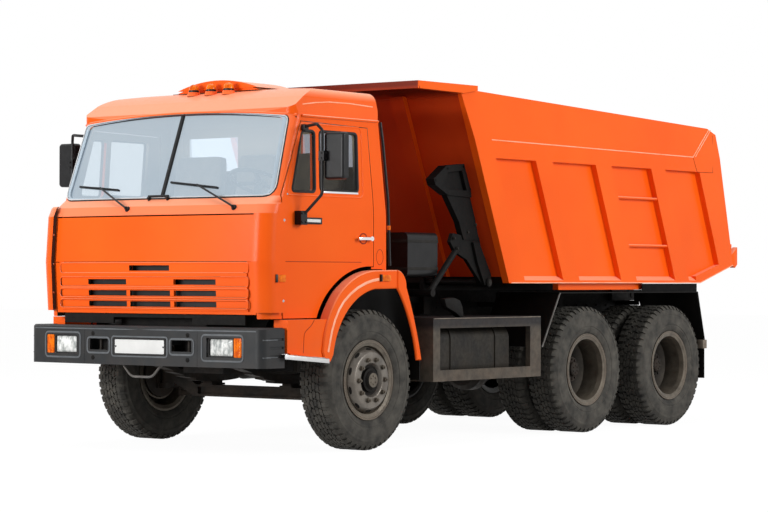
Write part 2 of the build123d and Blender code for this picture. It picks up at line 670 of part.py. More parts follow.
def front_fenders():
    """Wheel arch lips, their inner sheets and the steps below the doors; they tilt with the cab."""
    lip = slab_x(fender_front_outline(), FENDER_X)
    lip = chamfer(lip.edges().group_by(Axis.X)[-1], 8)
    q = [radial(p, -LIP_RETURN) for p in ARCH_OUT]
    end = (FENDER_SPLIT - 3, q[4][1])
    pocket = Curve() + [ThreePointArc(*q[0:3]), ThreePointArc(*q[2:5]), Line(q[4], end),
                        Polyline(end, (end[0], AXLE_Z), (-545, AXLE_Z), q[0])]
    lip -= slab_x(pocket, (FENDER_X[0] - 1, LIP_FACE))
    box_out = [(STEP_FRONT, 979), (STEP_FRONT, 722), (-562, 671), (-592, 744), (-527, 979)]
    step = slab_x(box_out, (FENDER_X[0] - 60, LIP_FACE + 2))
    hollow = slab_x([(STEP_FRONT + 12, 967), (STEP_FRONT + 12, 735), (-590, 690), (-615, 744),
                     (-560, 967)], (FENDER_X[0] - 70, FENDER_X[1] - 40))
    step -= hollow
    tread = slab_x([(STEP_FRONT, 722), (STEP_FRONT, 744), (-562, 693), (-562, 671)],
                   (FENDER_X[0] - 96, FENDER_X[1] + 8))
    sheet_x = (560, LIP_FACE + 2)
    inner = wheelhouse([((-545, 760), (-400, 1010), (-267, 1086)),
                        ((-267, 1086), (-115, 1172), (31, 1200))], 8, sheet_x)
    back = block(sheet_x, (31, FENDER_SPLIT - 3), (1200, FLOOR_Z - FLOOR_T))
    half = lip + step + tread + inner + back
    return both(half)


def rear_fenders():
    """Rear quarter of the front arch, on a stay off the frame, with its rubber flap."""
    split = FENDER_SPLIT + 3
    outer = [ThreePointArc((split, 1339), (370, 1310), (412, 1211)),
             ThreePointArc((412, 1211), (520, 940), (602, 656))]
    foot = [Line((602, 656), (539, 656))]
    inner = [ThreePointArc((539, 656), (463, 924), (387, 1076)),
             ThreePointArc((387, 1076), (345, 1140), (split, 1200)),
             Line((split, 1200), (split, 1339))]
    lip = slab_x(Curve() + outer + foot + inner, (LIP_FACE, FENDER_X[1]))
    lip = chamfer(lip.edges().group_by(Axis.X)[-1], 8)
    sheet = wheelhouse([((split, 1203), (440, 1010), (FLAP_Y, 690))], 8, (640, LIP_FACE + 2))
    flap = block((680, FENDER_X[1] - 12), (FLAP_Y, FLAP_Y + 8), (504, 700))
    stay = rod_x(22, (RAIL_X, LIP_FACE), 470, 1010)
    stay += block((RAIL_X, RAIL_X + 12), (430, 510), (970, 1050))
    half = lip + sheet + flap + stay
    return both(half)


CARRIER_X = (1040, 1120)


def spare_carrier():
    """Folding spare-wheel arm ahead of the body's front wall: tubes, strut, elbow and clamp head."""
    x0, x1 = CARRIER_X
    pivot_y, pivot_z = 1560, 1245
    tube_y, tube_z = 815, 1165
    wing = slab_x([(1085, 1561), (1152, 1483), (1302, 1425), (1515, 1225), (1596, 1225), (1604, 1307),
                   (1510, 1486), (1470, 1600), (1250, 1613), (1115, 1630)], (x0 + 24, x1 - 24))
    boss = slab_x([(1420, 1400), (1515, 1225), (1596, 1225), (1604, 1307), (1440, 1560), (1360, 1560)],
                  (x0, x1))
    arm = slab_x([(1022, 1924), (1185, 1720), (1250, 1580), (1456, 1580), (1395, 1764), (1335, 1912)],
                 (x0 + 14, x1 - 14))
    head = slab_x([(1000, 2151), (1235, 2173), (1255, 2126), (1325, 1972), (1335, 1912), (1022, 1924),
                   (859, 1996), (837, 2044)], (x0, x1))
    head -= slab_x([(960, 2010), (1040, 1965), (1270, 1965), (1205, 2120), (1020, 2100)], (x1 - 30, x1 + 5))
    stays = rod_x(34, (x0 - 60, x1 + 14), pivot_y, pivot_z)
    stays += bar((x0 + 50, tube_y, tube_z), (x0 + 50, 1180, 1510), 24)
    stays += rod_x(30, (RAIL_X + 60, x1 + 10), tube_y, tube_z)
    stays += rod_x(26, (RAIL_X + 60, x0), pivot_y, pivot_z)
    for y, z in ((tube_y, tube_z), (pivot_y, pivot_z)):
        stays += block((RAIL_X, RAIL_X + 90), (y - 40, y + 40), (RAIL_TOP - 90, RAIL_TOP - 20))
        stays += block((RAIL_X + 50, RAIL_X + 90), (y - 40, y + 40), (RAIL_TOP - 90, z + 34))
    return wing + boss + arm + head + stays


def air_cleaner():
    """Boxy air cleaner behind the cab with its intake neck."""
    can = block((640, 1060), (583, 967), (1287, 1629))
    can = fillet(can.edges().filter_by(Axis.Y), 40)
    duct = block((640, 760), (420, 600), (1480, 1600))
    foot = block((RAIL_X - RAIL_W, 740), (700, 760), (RAIL_TOP, RAIL_TOP + 30))
    foot += block((680, 740), (700, 760), (RAIL_TOP, 1290))
    return can + duct + foot


# ---------------------------------------------------------------- cab shell

# Z, front at the middle, front corner lag, half width at the front and at the rear, rear Y
CAB_SECTIONS = [
    (CAB_BOTTOM, -1138, 40, 1080, 1108, CAB_REAR),
    (1395, -1162, 40, 1085, 1115, CAB_REAR),
    (COWL_Z, -1141, 45, 1083, 1115, CAB_REAR - 3),
    (COWL_Z + 66, -1108, 46, 1081, 1112, CAB_REAR - 6),
    (GLASS_Z, -1022, 46, 1078, 1108, CAB_REAR - 10),
    (HEADER_Z + 12, -782, 32, 1058, 1064, CAB_REAR - 49),
]
CAB_CORNER_R = 78
CAB_REAR_R = 45


def cab_section(row, inset):
    z, nose, lag, half_front, half_rear, rear = row
    y0, y1 = nose + inset, rear - inset
    a, b = half_front - inset, half_rear - inset
    front = ThreePointArc((-a, y0 + lag), (0, y0), (a, y0 + lag))
    rest = Polyline((a, y0 + lag), (b, y1), (-b, y1), (-a, y0 + lag))
    face = make_face(Curve() + [front, rest])
    corners = face.vertices().sort_by(Axis.Y)
    face = fillet(corners[:2], CAB_CORNER_R - inset)
    corners = face.vertices().sort_by(Axis.Y)
    face = fillet(corners[-2:], max(CAB_REAR_R - inset, 6))
    return Plane.XY.offset(z) * face


@cache
def cab_body(inset):
    return loft([cab_section(row, inset) for row in CAB_SECTIONS], ruled=True)


def cab_skin(outer, inner):
    """Hollow ring of the cab between two insets, open below and above."""
    return cab_body(outer) - cab_body(inner)


# split line between the nose and the doors, (Y, Z) from the sill up
SEAM = [(-931, CAB_BOTTOM - 60), (-941, GLASS_Z), (-706, GUTTER_Z - 46)]
SCREEN = dict(foot=1878, half_foot=1008, half_top=972, top=2436, crown=2490)


def screen_outline(grow):
    s = SCREEN
    foot, top = s["foot"] - grow, s["top"] + grow
    a, b = s["half_foot"] + grow, s["half_top"] + grow
    loop = Curve() + [Polyline((-b, top), (-a, foot), (a, foot), (b, top)),
                      ThreePointArc((b, top), (0, s["crown"] + grow), (-b, top))]
    face = make_face(loop)
    return fillet(face.vertices(), 55)


def screen_cut(grow):
    plane = Plane((0, -1300, 0), x_dir=(1, 0, 0), z_dir=(0, -1, 0))
    return extrude(plane * screen_outline(grow), 700, dir=(0, 1, 0))


def header_mask():
    """Everything below the gutter: level on the sides, arched across the front."""
    arch = Curve() + [Polyline((-1300, GUTTER_Z), (-1300, 0), (1300, 0), (1300, GUTTER_Z), (1062, GUTTER_Z)),
                      ThreePointArc((1062, GUTTER_Z), (0, HEADER_Z), (-1062, GUTTER_Z)),
                      Line((-1062, GUTTER_Z), (-1300, GUTTER_Z))]
    front = slab_y(arch, (-1400, -600))
    return front + block((-1300, 1300), (-600, 500), (0, GUTTER_Z))


DOOR_REAR = 95
DOOR_PIVOT = (1098, -930)
DOOR_HINGE_Z = (1150, 1640)
KNUCKLE_R = 10
DOOR_PIN_R = 5
NOSE_SPLIT = 1395          # seam between the upper nose panel and the grille
STIFF_Y = (-1120, -1096)
REAR_WINDOW_X = (323, 847)
REAR_WINDOW_Z = (2118, 2382)
BULKHEAD_T = 20
BULKHEAD_Y = -1032         # cabin side of the wall behind the nose panel
WINDOWS = [
    [(-822, 1900), (-563, 1900), (-548, 2346), (-690, 2346)],
    [(-509, 1912), (-75, 1912), (-62, 2350), (-496, 2350)],
]


def door_outline(gap):
    """Closed (Y, Z) loop of a door, shrunk by gap all round; it clears the wheel arch."""
    g = gap
    front = [(-925 + g, CAB_BOTTOM + g), (-935 + g, GLASS_Z), (-700 + g, GUTTER_Z - 46 - g)]
    rear = [(66 - g, GUTTER_Z - 62 - g), (DOOR_REAR - g, GLASS_Z), (DOOR_REAR - g, 1362 + g)]
    start = rear[-1]
    arch = [ThreePointArc((31, 1362 + g), (-200, 1314 + g), (-398, 1196 + g)),
            ThreePointArc((-398, 1196 + g), (-500, 1085 + g), (-552, CAB_BOTTOM + g))]
    loop = Curve() + [Polyline(*reversed(front)), Line(front[2], rear[0]), Polyline(*rear),
                      Line(start, (31, 1362 + g)), *arch, Line((-552, CAB_BOTTOM + g), front[0])]
    return loop


def window_cut(outline, grow=0):
    face = make_face(Polyline(*outline, close=True))
    face = fillet(face.vertices(), 35)
    return extrude(Plane.YZ.offset(800) * face, 600, dir=(1, 0, 0))


def hinge_half(side, part):
    """Door hinge knuckles with their leaves: part -1 on the pillar with its pins, 1 on the door."""
    x, y = side * DOOR_PIVOT[0], DOOR_PIVOT[1]
    leaf_x = sorted((side * 1066, x))
    half = None
    for z in DOOR_HINGE_Z:
        span = (z - 34, z) if part < 0 else (z + SEAT, z + 34)
        leaf_y = (y - 16, y - 4) if part < 0 else (y + 4, y + 16)
        piece = rod_z(KNUCKLE_R, x, y, span) + block(leaf_x, sorted((y, leaf_y[part > 0])), span)
        if part < 0:
            piece += rod_z(DOOR_PIN_R, x, y, (z - 4, z + 40))
        else:
            piece -= rod_z(DOOR_PIN_R + PIN_GAP, x, y, (z - 10, z + 50))
        half = piece if half is None else half + piece
    return half


def cab_pieces():
    """All that is cut from the cab's skin."""
    skin = cab_skin(0, WALL)
    below = header_mask()
    nose = slab_x([(-1400, 900), SEAM[0], SEAM[1], SEAM[2], (SEAM[2][0], 2700), (-1400, 2700)], (-1300, 1300))
    shell = skin & below
    # nose: cowl, pillars and header
    front = (shell & nose) - screen_cut(0)
    front -= block((-NOSE_HALF - 5, NOSE_HALF + 5), (-1400, -900), (900, COWL_Z))
    front += block((-1045, 1045), (BULKHEAD_Y - BULKHEAD_T, BULKHEAD_Y), (FLOOR_Z, COWL_Z + 40)) & cab_body(2)
    for s in (-1, 1):
        front += block(sorted((s * 780, s * 830)), (STIFF_Y[1] + SEAT, BULKHEAD_Y - 4), (NOSE_SPLIT + 8, NOSE_SPLIT + 50))
        front += hinge_half(s, -1)
    front += block((-1045, 1045), (-1110, BULKHEAD_Y), (COWL_Z + 2, COWL_Z + 22)) & cab_body(2)
    # sides and rear
    rear_y = CAB_REAR - 75
    side = (shell - nose) & block((900, 1300), (-1400, rear_y), (1340, 2600))
    opening = slab_x(door_outline(-CLEAR / 2), (800, 1300))
    side = side - opening - Pos(0, -30, -30) * opening - Pos(0, -30, 0) * opening
    side -= arch_clear()
    side_right = mirrored(side)
    rear = shell & block((-1300, 1300), (rear_y, 500), (1340, 2600))
    rear += block((-1040, 1040), (CAB_REAR - WALL, CAB_REAR - 4), (FLOOR_Z - FLOOR_T, 1345))
    tunnel_half = TUNNEL_HALF - TUNNEL_T
    rear -= block((-tunnel_half, tunnel_half), (0, 500), (0, TUNNEL_TOP - TUNNEL_T))
    for s in (-1, 1):
        rear -= block(sorted((s * REAR_WINDOW_X[0], s * REAR_WINDOW_X[1])), (0, 500), REAR_WINDOW_Z)
    # doors
    panel = (shell & block((900, 1300), (-1400, rear_y), (900, 2600))) & slab_x(door_outline(CLEAR / 2), (800, 1300))
    for outline in WINDOWS:
        panel -= window_cut(outline)
    panel += hinge_half(1, 1)
    panes = cab_skin(14, 20)
    glass = None
    for outline in WINDOWS:
        pane = panes & window_cut(outline)
        glass = pane if glass is None else glass + pane
    screen = panes & screen_cut(0)
    return front, [side, side_right], rear, panel, glass, screen


def arch_clear():
    """Space over the front wheel that no cab wall may enter."""
    return slab_x([(-560, 900), (-552, CAB_BOTTOM), (-500, 1085), (-398, 1196), (-200, 1314), (31, 1345), (400, 1345),
                   (400, 900)], (800, 1300))


def cab_floor():
    """Floor with the engine tunnel, pivot eyes on horns and the valance under the nose panel."""
    y0, y1 = BULKHEAD_Y - BULKHEAD_T, CAB_REAR - WALL
    low = FLOOR_Z - FLOOR_T
    floor = block((-1030, 1030), (y0, y1), (low, FLOOR_Z))
    floor += block((-TUNNEL_HALF, TUNNEL_HALF), (y0 + 40, y1 - 2), (low, TUNNEL_TOP))
    inside = TUNNEL_HALF - TUNNEL_T
    floor -= block((-inside, inside), (y0 - 10, y1 + 10), (0, TUNNEL_TOP - TUNNEL_T))
    pivot_y, pivot_z = CAB_PIVOT
    half = rod_x(PIVOT_EYE_R, PIVOT_EYE_X, pivot_y, pivot_z)
    half += slab_x([(pivot_y - PIVOT_EYE_R, pivot_z), (pivot_y + PIVOT_EYE_R, pivot_z),
                    (y0 + 90, low + 4), (y0, low + 4)], PIVOT_EYE_X)
    half += block((PIVOT_EYE_X[0], 900), (VALANCE_Y[0], pivot_y), (pivot_z + 6, pivot_z + 18))
    half += block((PIVOT_EYE_X[0] - 60, 900), VALANCE_Y, (940, NOSE_BOTTOM - 5))
    half -= rod_x(PIVOT_PIN_R + PIN_GAP, (RAIL_X, 900), pivot_y, pivot_z)
    middle = block((-PIVOT_EYE_X[0], PIVOT_EYE_X[0]), VALANCE_Y, (940 + 45, NOSE_BOTTOM - 5))
    return floor + half + mirrored(half) + middle


VALANCE_Y = (-1120, -1104)


HATCH_HALF = 413
HATCH_Y = (-400, 10)


def cab_roof():
    """Domed roof cap over the gutter with a low arched hatch."""
    def cap(inset):
        i = inset
        rear = CAB_REAR - 46 - i
        side = Curve() + [
            Polyline((-870 + i, GUTTER_Z - 10), (-800 + i, GUTTER_Z), (-776 + i, HEADER_Z + 4),
                     (-640 + i, 2600 - i)),
            ThreePointArc((-640 + i, 2600 - i), (-480, 2662 - i), (-250, 2690 - i)),
            Polyline((-250, 2690 - i), (150 - i, 2694 - i), (206 - i, 2668 - i), (rear, GUTTER_Z),
                     (rear, GUTTER_Z - 10), (-870 + i, GUTTER_Z - 10))]
        solid = slab_x(side, (-1100, 1100))
        front = Curve() + [
            Polyline((1064 - i, GUTTER_Z - 10), (1062 - i, GUTTER_Z), (1040 - i, 2590 - i)),
            ThreePointArc((1040 - i, 2590 - i), (1018 - i, 2640 - i), (950 - i, 2666 - i)),
            ThreePointArc((950 - i, 2666 - i), (0, 2702 - i), (-950 + i, 2666 - i)),
            ThreePointArc((-950 + i, 2666 - i), (-1018 + i, 2640 - i), (-1040 + i, 2590 - i)),
            Polyline((-1040 + i, 2590 - i), (-1062 + i, GUTTER_Z), (-1064 + i, GUTTER_Z - 10),
                     (1064 - i, GUTTER_Z - 10))]
        solid = solid & slab_y(front, (-1200, 500))
        row = (GUTTER_Z, -806, 33, 1062, 1066, CAB_REAR - 45)
        plan = extrude(cab_section(row, inset), 400)
        return solid & Pos(0, 0, -20) * plan
    roof = cap(0) - Pos(0, 0, -0.1) * cap(30)
    roof -= header_mask()
    h = HATCH_HALF
    frame = slab_y(Curve() + [ThreePointArc((-h, 2688), (0, 2742), (h, 2688)), Line((h, 2688), (-h, 2688))],
                   HATCH_Y)
    lid = slab_y(Curve() + [ThreePointArc((-h + 12, 2706), (0, 2773), (h - 12, 2706)),
                            Line((h - 12, 2706), (-h + 12, 2706))], (HATCH_Y[0] - 10, HATCH_Y[1] + 10))
    return roof + frame + lid


def corner_panels():
    """Air-guiding panels that stand proud of the cab's front corners, on bosses."""
    skin = cab_skin(-40, -30)
    zone = block((1000, 1300), (-1300, -948), (1030, 1815))
    panel = skin & zone
    flange = block((1000, 1010), (-1190, -1110), (1040, 1800)) & cab_body(-40)
    flange -= cab_body(-8)
    bosses = None
    for z in (1180, 1640):
        boss = rod_x(16, (1060, 1140), -975, z)
        bosses = boss if bosses is None else bosses + boss
    bosses = (bosses & cab_body(-36)) - cab_body(0)
    half = panel + flange + bosses
    return both(half)


def nose_panel():
    """Upper nose panel and slotted grille, cut from one bowed skin; they lift together."""
    skin = cab_skin(0, PANEL_T)
    face = skin & block((-NOSE_HALF, NOSE_HALF), (-1400, -900), (NOSE_BOTTOM, COWL_Z - GROOVE))
    split = NOSE_SPLIT
    upper = face & block((-1200, 1200), (-1400, -900), (split + 2, 2000))
    lower = face & block((-1200, 1200), (-1400, -900), (900, split - 4))
    stiff = block((-NOSE_HALF + 30, NOSE_HALF - 30), STIFF_Y, (split - 60, split + 60))
    upper += stiff & block((-1200, 1200), (-1400, -900), (split + 2, 2000))
    lower += stiff & block((-1200, 1200), (-1400, -900), (900, split + 2))
    for z, cells in GRILLE_ROWS:
        for x0, x1 in cells:
            cut = block((x0, x1), (-1400, -900), (z - SLOT_H / 2, z + SLOT_H / 2))
            lower -= cut
    for z in GRILLE_RIBS:
        lower += rib_bar(z)
    return upper, lower


SLOT_H = 40
CELL_SIDE = (236, 636)
CELL_MID = (-200, 200)
GRILLE_ROWS = [
    (1349, [CELL_MID]),
    (1247, [CELL_SIDE, (-CELL_SIDE[1], -CELL_SIDE[0])]),
    (1165, [CELL_SIDE, CELL_MID, (-CELL_SIDE[1], -CELL_SIDE[0])]),
    (1085, [CELL_SIDE, CELL_MID, (-CELL_SIDE[1], -CELL_SIDE[0])]),
]
GRILLE_RIBS = [1298, 1206, 1125, 1046]
RIB_HALF = 930


def rib_bar(z):
    """One pressed rib of the grille, proud of the bowed face by 12 mm."""
    band = cab_skin(-12, 6) & block((-RIB_HALF, RIB_HALF), (-1400, -950), (z - 9, z + 9))
    return band


def dashboard():
    """Dash with its binnacle, steering column and wheel on the left."""
    dash = slab_x([(BULKHEAD_Y + SEAT, 1500), (BULKHEAD_Y + SEAT, 1770), (-930, 1850), (-760, 1850),
                   (-700, 1760), (-720, 1560), (-800, 1480)], (-940, 940))
    low, high = (600, -840, 1570), (600, -615, 1962)
    dash -= bar((600, -895, 1474), high, 32 + SEAT)
    column = bar(low, high, 32)
    tilt = Plane(origin=(600, -610, 1975), z_dir=(0, 0.45, 1))
    wheel = tilt * Torus(225, 15)
    hub_part = tilt * Cylinder(52, 30)
    spokes = None
    for angle in (90, 210, 330):
        spoke = tilt * Rot(0, 0, angle) * Pos(135, 0, 0) * Box(180, 34, 14)
        spokes = spoke if spokes is None else spokes + spoke
    return dash, column + wheel + hub_part + spokes


def seats():
    """Driver's seat and passenger bench on their bases."""
    solids = []
    for x, w in ((600, 500), (-600, 520), (0, 420)):
        base_z = FLOOR_Z if x else TUNNEL_TOP
        base = block((x - w / 2 + 60, x + w / 2 - 60), (-420, -40), (base_z, 1560))
        cushion = block((x - w / 2, x + w / 2), (-480, 20), (1560, 1680))
        cushion = fillet(cushion.edges(), 30)
        back = Pos(x, 60, 1960) * Rot(-8, 0, 0) * Box(w, 110, 600)
        back = fillet(back.edges(), 35)
        solids.append(base + cushion + back)
    return solids


MIRROR_X = 1255
MIRROR_W = 185


def mirror_left():
    """C-shaped arm from the door with the mirror head on its upright run."""
    top = [(1085, -680, 2372), (MIRROR_X - 30, -717, 2384), (MIRROR_X, -690, 2340), (MIRROR_X, -690, 1880),
           (1130, -760, 1722)]
    arm = tube(top, 11, [18, 18, 60])
    upper = block((1055, 1100), (-700, -655), (2345, 2387)) - cab_body(-SEAT)
    lower = block((1080, 1150), (-800, -730), (1660, 1760)) - cab_body(-SEAT)
    head = block((MIRROR_X - 8, MIRROR_X - 8 + MIRROR_W), (-668, -608), (1985, 2325))
    head = fillet(head.edges().filter_by(Axis.Y), 28)
    head = fillet(head.faces().sort_by(Axis.Y)[0].edges(), 20)
    clamp = block((MIRROR_X - 20, MIRROR_X + 30), (-710, -660), (2120, 2190))
    return arm + upper + lower + head + clamp


# ---------------------------------------------------------------- dump body

BED_TOP_FRONT = (1250, 2742)
BED_TOP_REAR = (4787, 2618)
BED_TAIL_TOP = (4928, 2568)
BED_TAIL_FOOT = (5218, 1402)
BED_CORNER = (1050, 2711)    # top front corner of the side walls
BED_RISE = (4631, 1240)
BED_RISE_END = (4984, 1338)
VISOR_FRONT = 458
VISOR_TOP = 2778
VISOR_REAR = 1235
WALL_LAG = 60               # front wall behind the side walls' front edges
WALL_TOP_Y = BED_CORNER[0] + WALL_LAG
WALL_FOOT_Y = WALL_TOP_Y + BED_SLANT * (BED_CORNER[1] - BED_FLOOR)
GATE_HINGE = (4886, 2550)
GATE_PIN_R = 14
GATE_EYE_R = 28
GATE_PIN_IN = 24            # how deep a gate pin reaches into the side wall
BELT_LOW = 2225
BELT_CREASE = 2362
TOP_LEAN = 30
FLANGE_TOP = 1296
RIB_TABLE = [(2040, 2280), (2925, 3170), (3805, 4040)]   # rib edges at the belt's foot
TAIL_SLOPE = (BED_TAIL_FOOT[0] - BED_TAIL_TOP[0]) / (BED_TAIL_TOP[1] - BED_TAIL_FOOT[1])


def slant(y, z, z_ref):
    """Y of a slanted line at z when it stands at y at z_ref."""
    return y + BED_SLANT * (z_ref - z)


def bed_side_outline():
    foot_z = BED_RISE[1]
    return [BED_CORNER, (slant(BED_CORNER[0], foot_z, BED_CORNER[1]), foot_z), BED_RISE, BED_RISE_END,
            BED_TAIL_FOOT, BED_TAIL_TOP, BED_TOP_REAR, BED_TOP_FRONT]


def bed_sides():
    """Side walls: plate, leaned top band, slanted posts and the bottom flange."""
    outline = slab_x(bed_side_outline(), (BED_INNER, BED_HALF))
    plate_x = BED_INNER + BED_SIDE_T
    plate = outline & block((BED_INNER, plate_x), (0, 6000), (0, 3000))
    band = slab_y([(BED_INNER, BELT_LOW), (BED_HALF, BELT_LOW), (BED_HALF, BELT_CREASE), (BED_HALF - TOP_LEAN, 2760),
                   (BED_INNER, 2760)], (0, 6000))
    foot = slab_y([(BED_INNER, 1200), (BED_HALF, 1200), (BED_HALF, 1262), (plate_x, FLANGE_TOP), (BED_INNER, FLANGE_TOP)],
                  (0, 6000))
    side = plate + (outline & band) + (outline & foot)
    ribs = [(slant(BED_CORNER[0], BELT_LOW, BED_CORNER[1]) - 40, 1482)] + RIB_TABLE + [(4620, 5600)]
    for y0, y1 in ribs:
        points = [(y0, BELT_LOW + 1), (slant(y0, 1240, BELT_LOW), 1240), (slant(y1, 1240, BELT_LOW), 1240),
                  (y1, BELT_LOW + 1)]
        side += slab_x(points, (BED_INNER, BED_HALF)) & outline
    rise = slab_x([(4560, 1240), (4560, 1300), (4950, 1400), (5200, 1470), (5300, 1400), (4984, 1300)],
                  (BED_INNER, BED_HALF)) & outline
    side += rise
    for z in (1965, 1560):
        y0 = slant(RIB_TABLE[1][1], z, BELT_LOW) - 10
        y1 = slant(RIB_TABLE[2][0], z, BELT_LOW) + 10
        side += rod_y(11, BED_HALF - 16, (y0, y1), z)
    side -= rod_x(GATE_PIN_R + PIN_GAP, (BED_INNER - 5, BED_INNER + GATE_PIN_IN + 2), *GATE_HINGE)
    return both(side)


def side_top(y):
    """Z of the side wall's top edge between its front corner and the first rise."""
    return BED_CORNER[1] + (y - BED_CORNER[0]) * (BED_TOP_FRONT[1] - BED_CORNER[1]) / (BED_TOP_FRONT[0] - BED_CORNER[0])


def bed_front():
    """Slanted front wall with two posts, and the visor that covers the cab."""
    t = BED_SIDE_T
    top_y, low_y = WALL_TOP_Y, WALL_FOOT_Y
    wall = slab_x([(top_y, 2711), (top_y + t, 2711), (low_y + t, BED_FLOOR), (low_y, BED_FLOOR)],
                  (-BED_INNER, BED_INNER))
    for s in (-1, 1):
        post = slab_x([(top_y - 50, 2711), (top_y, 2711), (low_y, BED_FLOOR), (low_y - 50, BED_FLOOR)],
                      sorted((s * 513, s * 643)))
        wall += post
    under = VISOR_TOP - BED_SIDE_T
    roof = slab_x([(VISOR_FRONT, VISOR_TOP - 6), (VISOR_REAR, VISOR_TOP), (VISOR_REAR, under),
                   (VISOR_FRONT, under - 6)], (-BED_HALF, BED_HALF))
    roof += slab_x([(top_y - 10, under), (top_y + t + 60, under), (top_y + t, 2700), (top_y - 4, 2700)],
                   (-BED_INNER, BED_INNER))
    lip = block((-BED_HALF, BED_HALF), (VISOR_FRONT, VISOR_FRONT + 14), (2714, VISOR_TOP - 8))
    cheek = slab_x([(VISOR_FRONT, 2770), (VISOR_FRONT + 25, 2714), BED_CORNER,
                    (VISOR_REAR, side_top(VISOR_REAR)), (VISOR_REAR, VISOR_TOP)], (BED_INNER, BED_HALF))
    return wall + roof + lip + cheek + mirrored(cheek)


def bed_floor():
    """Floor plate from the front wall to the tail, bent up at the rear."""
    t = BED_FLOOR_T
    y0 = WALL_FOOT_Y + BED_SIDE_T
    low = [(y0, 0), (4631, 0), (4984, 62), (5190, 112)]
    high = [(y, z + t) for y, z in reversed(low[1:])] + [(y0 - BED_SLANT * t, t)]
    outline = [(y, BED_FLOOR + z) for y, z in low + high]
    return slab_x(outline, (-BED_INNER, BED_INNER))


def bed_underframe():
    """Long beams and cross-members under the floor, with the hinge ears and hoist brackets."""
    top = BED_FLOOR
    beam = block((BED_BEAM_X, BED_BEAM_X + BED_BEAM_W), (1700, 4740), (SUB_TOP + SEAT, top))
    hinge_y, hinge_z = BED_HINGE
    r = HINGE_EYE_R
    ear = rod_x(r, (BED_BEAM_X + 5, BED_BEAM_X + 45), hinge_y, hinge_z)
    ear += block((BED_BEAM_X + 5, BED_BEAM_X + 45), (hinge_y - r, hinge_y + r), (hinge_z, SUB_TOP + 40))
    half = beam + ear - rod_x(HINGE_R + PIN_GAP, (0, 900), hinge_y, hinge_z)
    cross = None
    for y in (1760, 2330, 2900, 3560, 4100, 4560):
        member = block((-BED_INNER, BED_INNER), (y, y + 70), (1240, top))
        cross = member if cross is None else cross + member
    whole = half + mirrored(half) + cross
    head_y, head_z = HOIST_HEAD
    for s in (-1, 1):
        whole += slab_x([(head_y - 70, top), (head_y + 70, top), (head_y + 45, head_z - 40), (head_y - 45, head_z - 40)],
                        sorted((s * 68, s * 88)))
        whole += block(sorted((s * 68, s * 420)), (head_y - 60, head_y + 60), (top - 30, top))
        skirt = block(sorted((s * 1140, s * (BED_INNER + 6))), (2452, 3755), (1184, 1240))
        whole += skirt
    return whole


def tailgate():
    """Rear gate hung from its top corners, with slanted stiffeners and latch tips."""
    half = BED_INNER - CLEAR
    y_top, z_top = BED_TAIL_TOP
    y_low, z_low = BED_TAIL_FOOT
    sheet = slab_x([(y_top, z_top - 20), (y_top + 14, z_top - 16), (y_low + 14, z_low + 16), (y_low, z_low + 14)],
                   (-half, half))
    gate = sheet
    for x in (-900, -300, 300, 900):
        gate += slab_x([(y_top + 10, z_top - 60), (y_top + 62, z_top - 60), (y_low + 62, z_low + 50), (y_low + 10, z_low + 50)],
                       (x - 45, x + 45))
    for z, h in ((z_top - 60, 90), ((z_top + z_low) / 2, 80), (z_low + 70, 90)):
        y = y_low - TAIL_SLOPE * (z - z_low)
        gate += block((-half, half), (y + 6, y + 66), (z - h / 2, z + h / 2))
    pin_y, pin_z = GATE_HINGE
    for s in (-1, 1):
        ear_x = sorted((s * (half - 40), s * half))
        gate += slab_x([(y_low - 2, 1425), (TAIL_Y, 1425), (TAIL_Y, 1590), (y_low - 30, 1610)],
                       sorted((s * (half - 70), s * half)))
        gate += rod_x(GATE_EYE_R, ear_x, pin_y, pin_z)
        gate += slab_x([(pin_y, pin_z - GATE_EYE_R), (pin_y, pin_z + GATE_EYE_R), (y_top + 40, z_top - 30),
                        (y_top + 40, z_top - 60)], ear_x)
        gate += rod_x(GATE_PIN_R, sorted((s * (half - 40), s * (BED_INNER + GATE_PIN_IN))), pin_y, pin_z)
    return gate


# ---------------------------------------------------------------- hoist


def hoist():
    """Telescopic ram: barrel on its foot pin, two stages and the rod with its head."""
    foot, head = Vector(0, *HOIST_FOOT), Vector(0, *HOIST_HEAD)
    reach = (head - foot).length
    along = Plane(origin=foot, x_dir=(1, 0, 0), z_dir=head - foot)
    def stack(r_out, r_in, low, high):
        solid = Pos(0, 0, (low + high) / 2) * Cylinder(r_out, high - low)
        if r_in:
            solid -= Pos(0, 0, (low + high) / 2) * Cylinder(r_in, high - low)
        return along * solid
    barrel = stack(BARREL_R, 74.2, 50, reach - 78) + stack(BARREL_R, 0, 34, 60)
    eye_half = CRADLE_X - 10 - CLEAR
    barrel += rod_x(48, (-eye_half, eye_half), *HOIST_FOOT)
    barrel -= rod_x(HOIST_PIN_R + PIN_GAP, (-CRADLE_X, CRADLE_X), *HOIST_FOOT)
    stage_1 = stack(74, 60.2, 66, reach - 66)
    stage_2 = stack(60, 46.2, 72, reach - 58)
    rod = stack(46, 0, 78, reach - 30)
    rod += rod_x(40, (-60, 60), *HOIST_HEAD)
    return barrel, stage_1, stage_2, rod


# ---------------------------------------------------------------- export


def solids_of(item):
    items = item if isinstance(item, (list, tuple)) else [item]
    found = []
    for entry in items:
        found += list(entry.solids())
    return found


def export(name, item):
    shape = Compound(children=[Pos(0, SHIFT_Y, 0) * s for s in solids_of(item)])
    export_step(shape, f"parts/{name}.step")


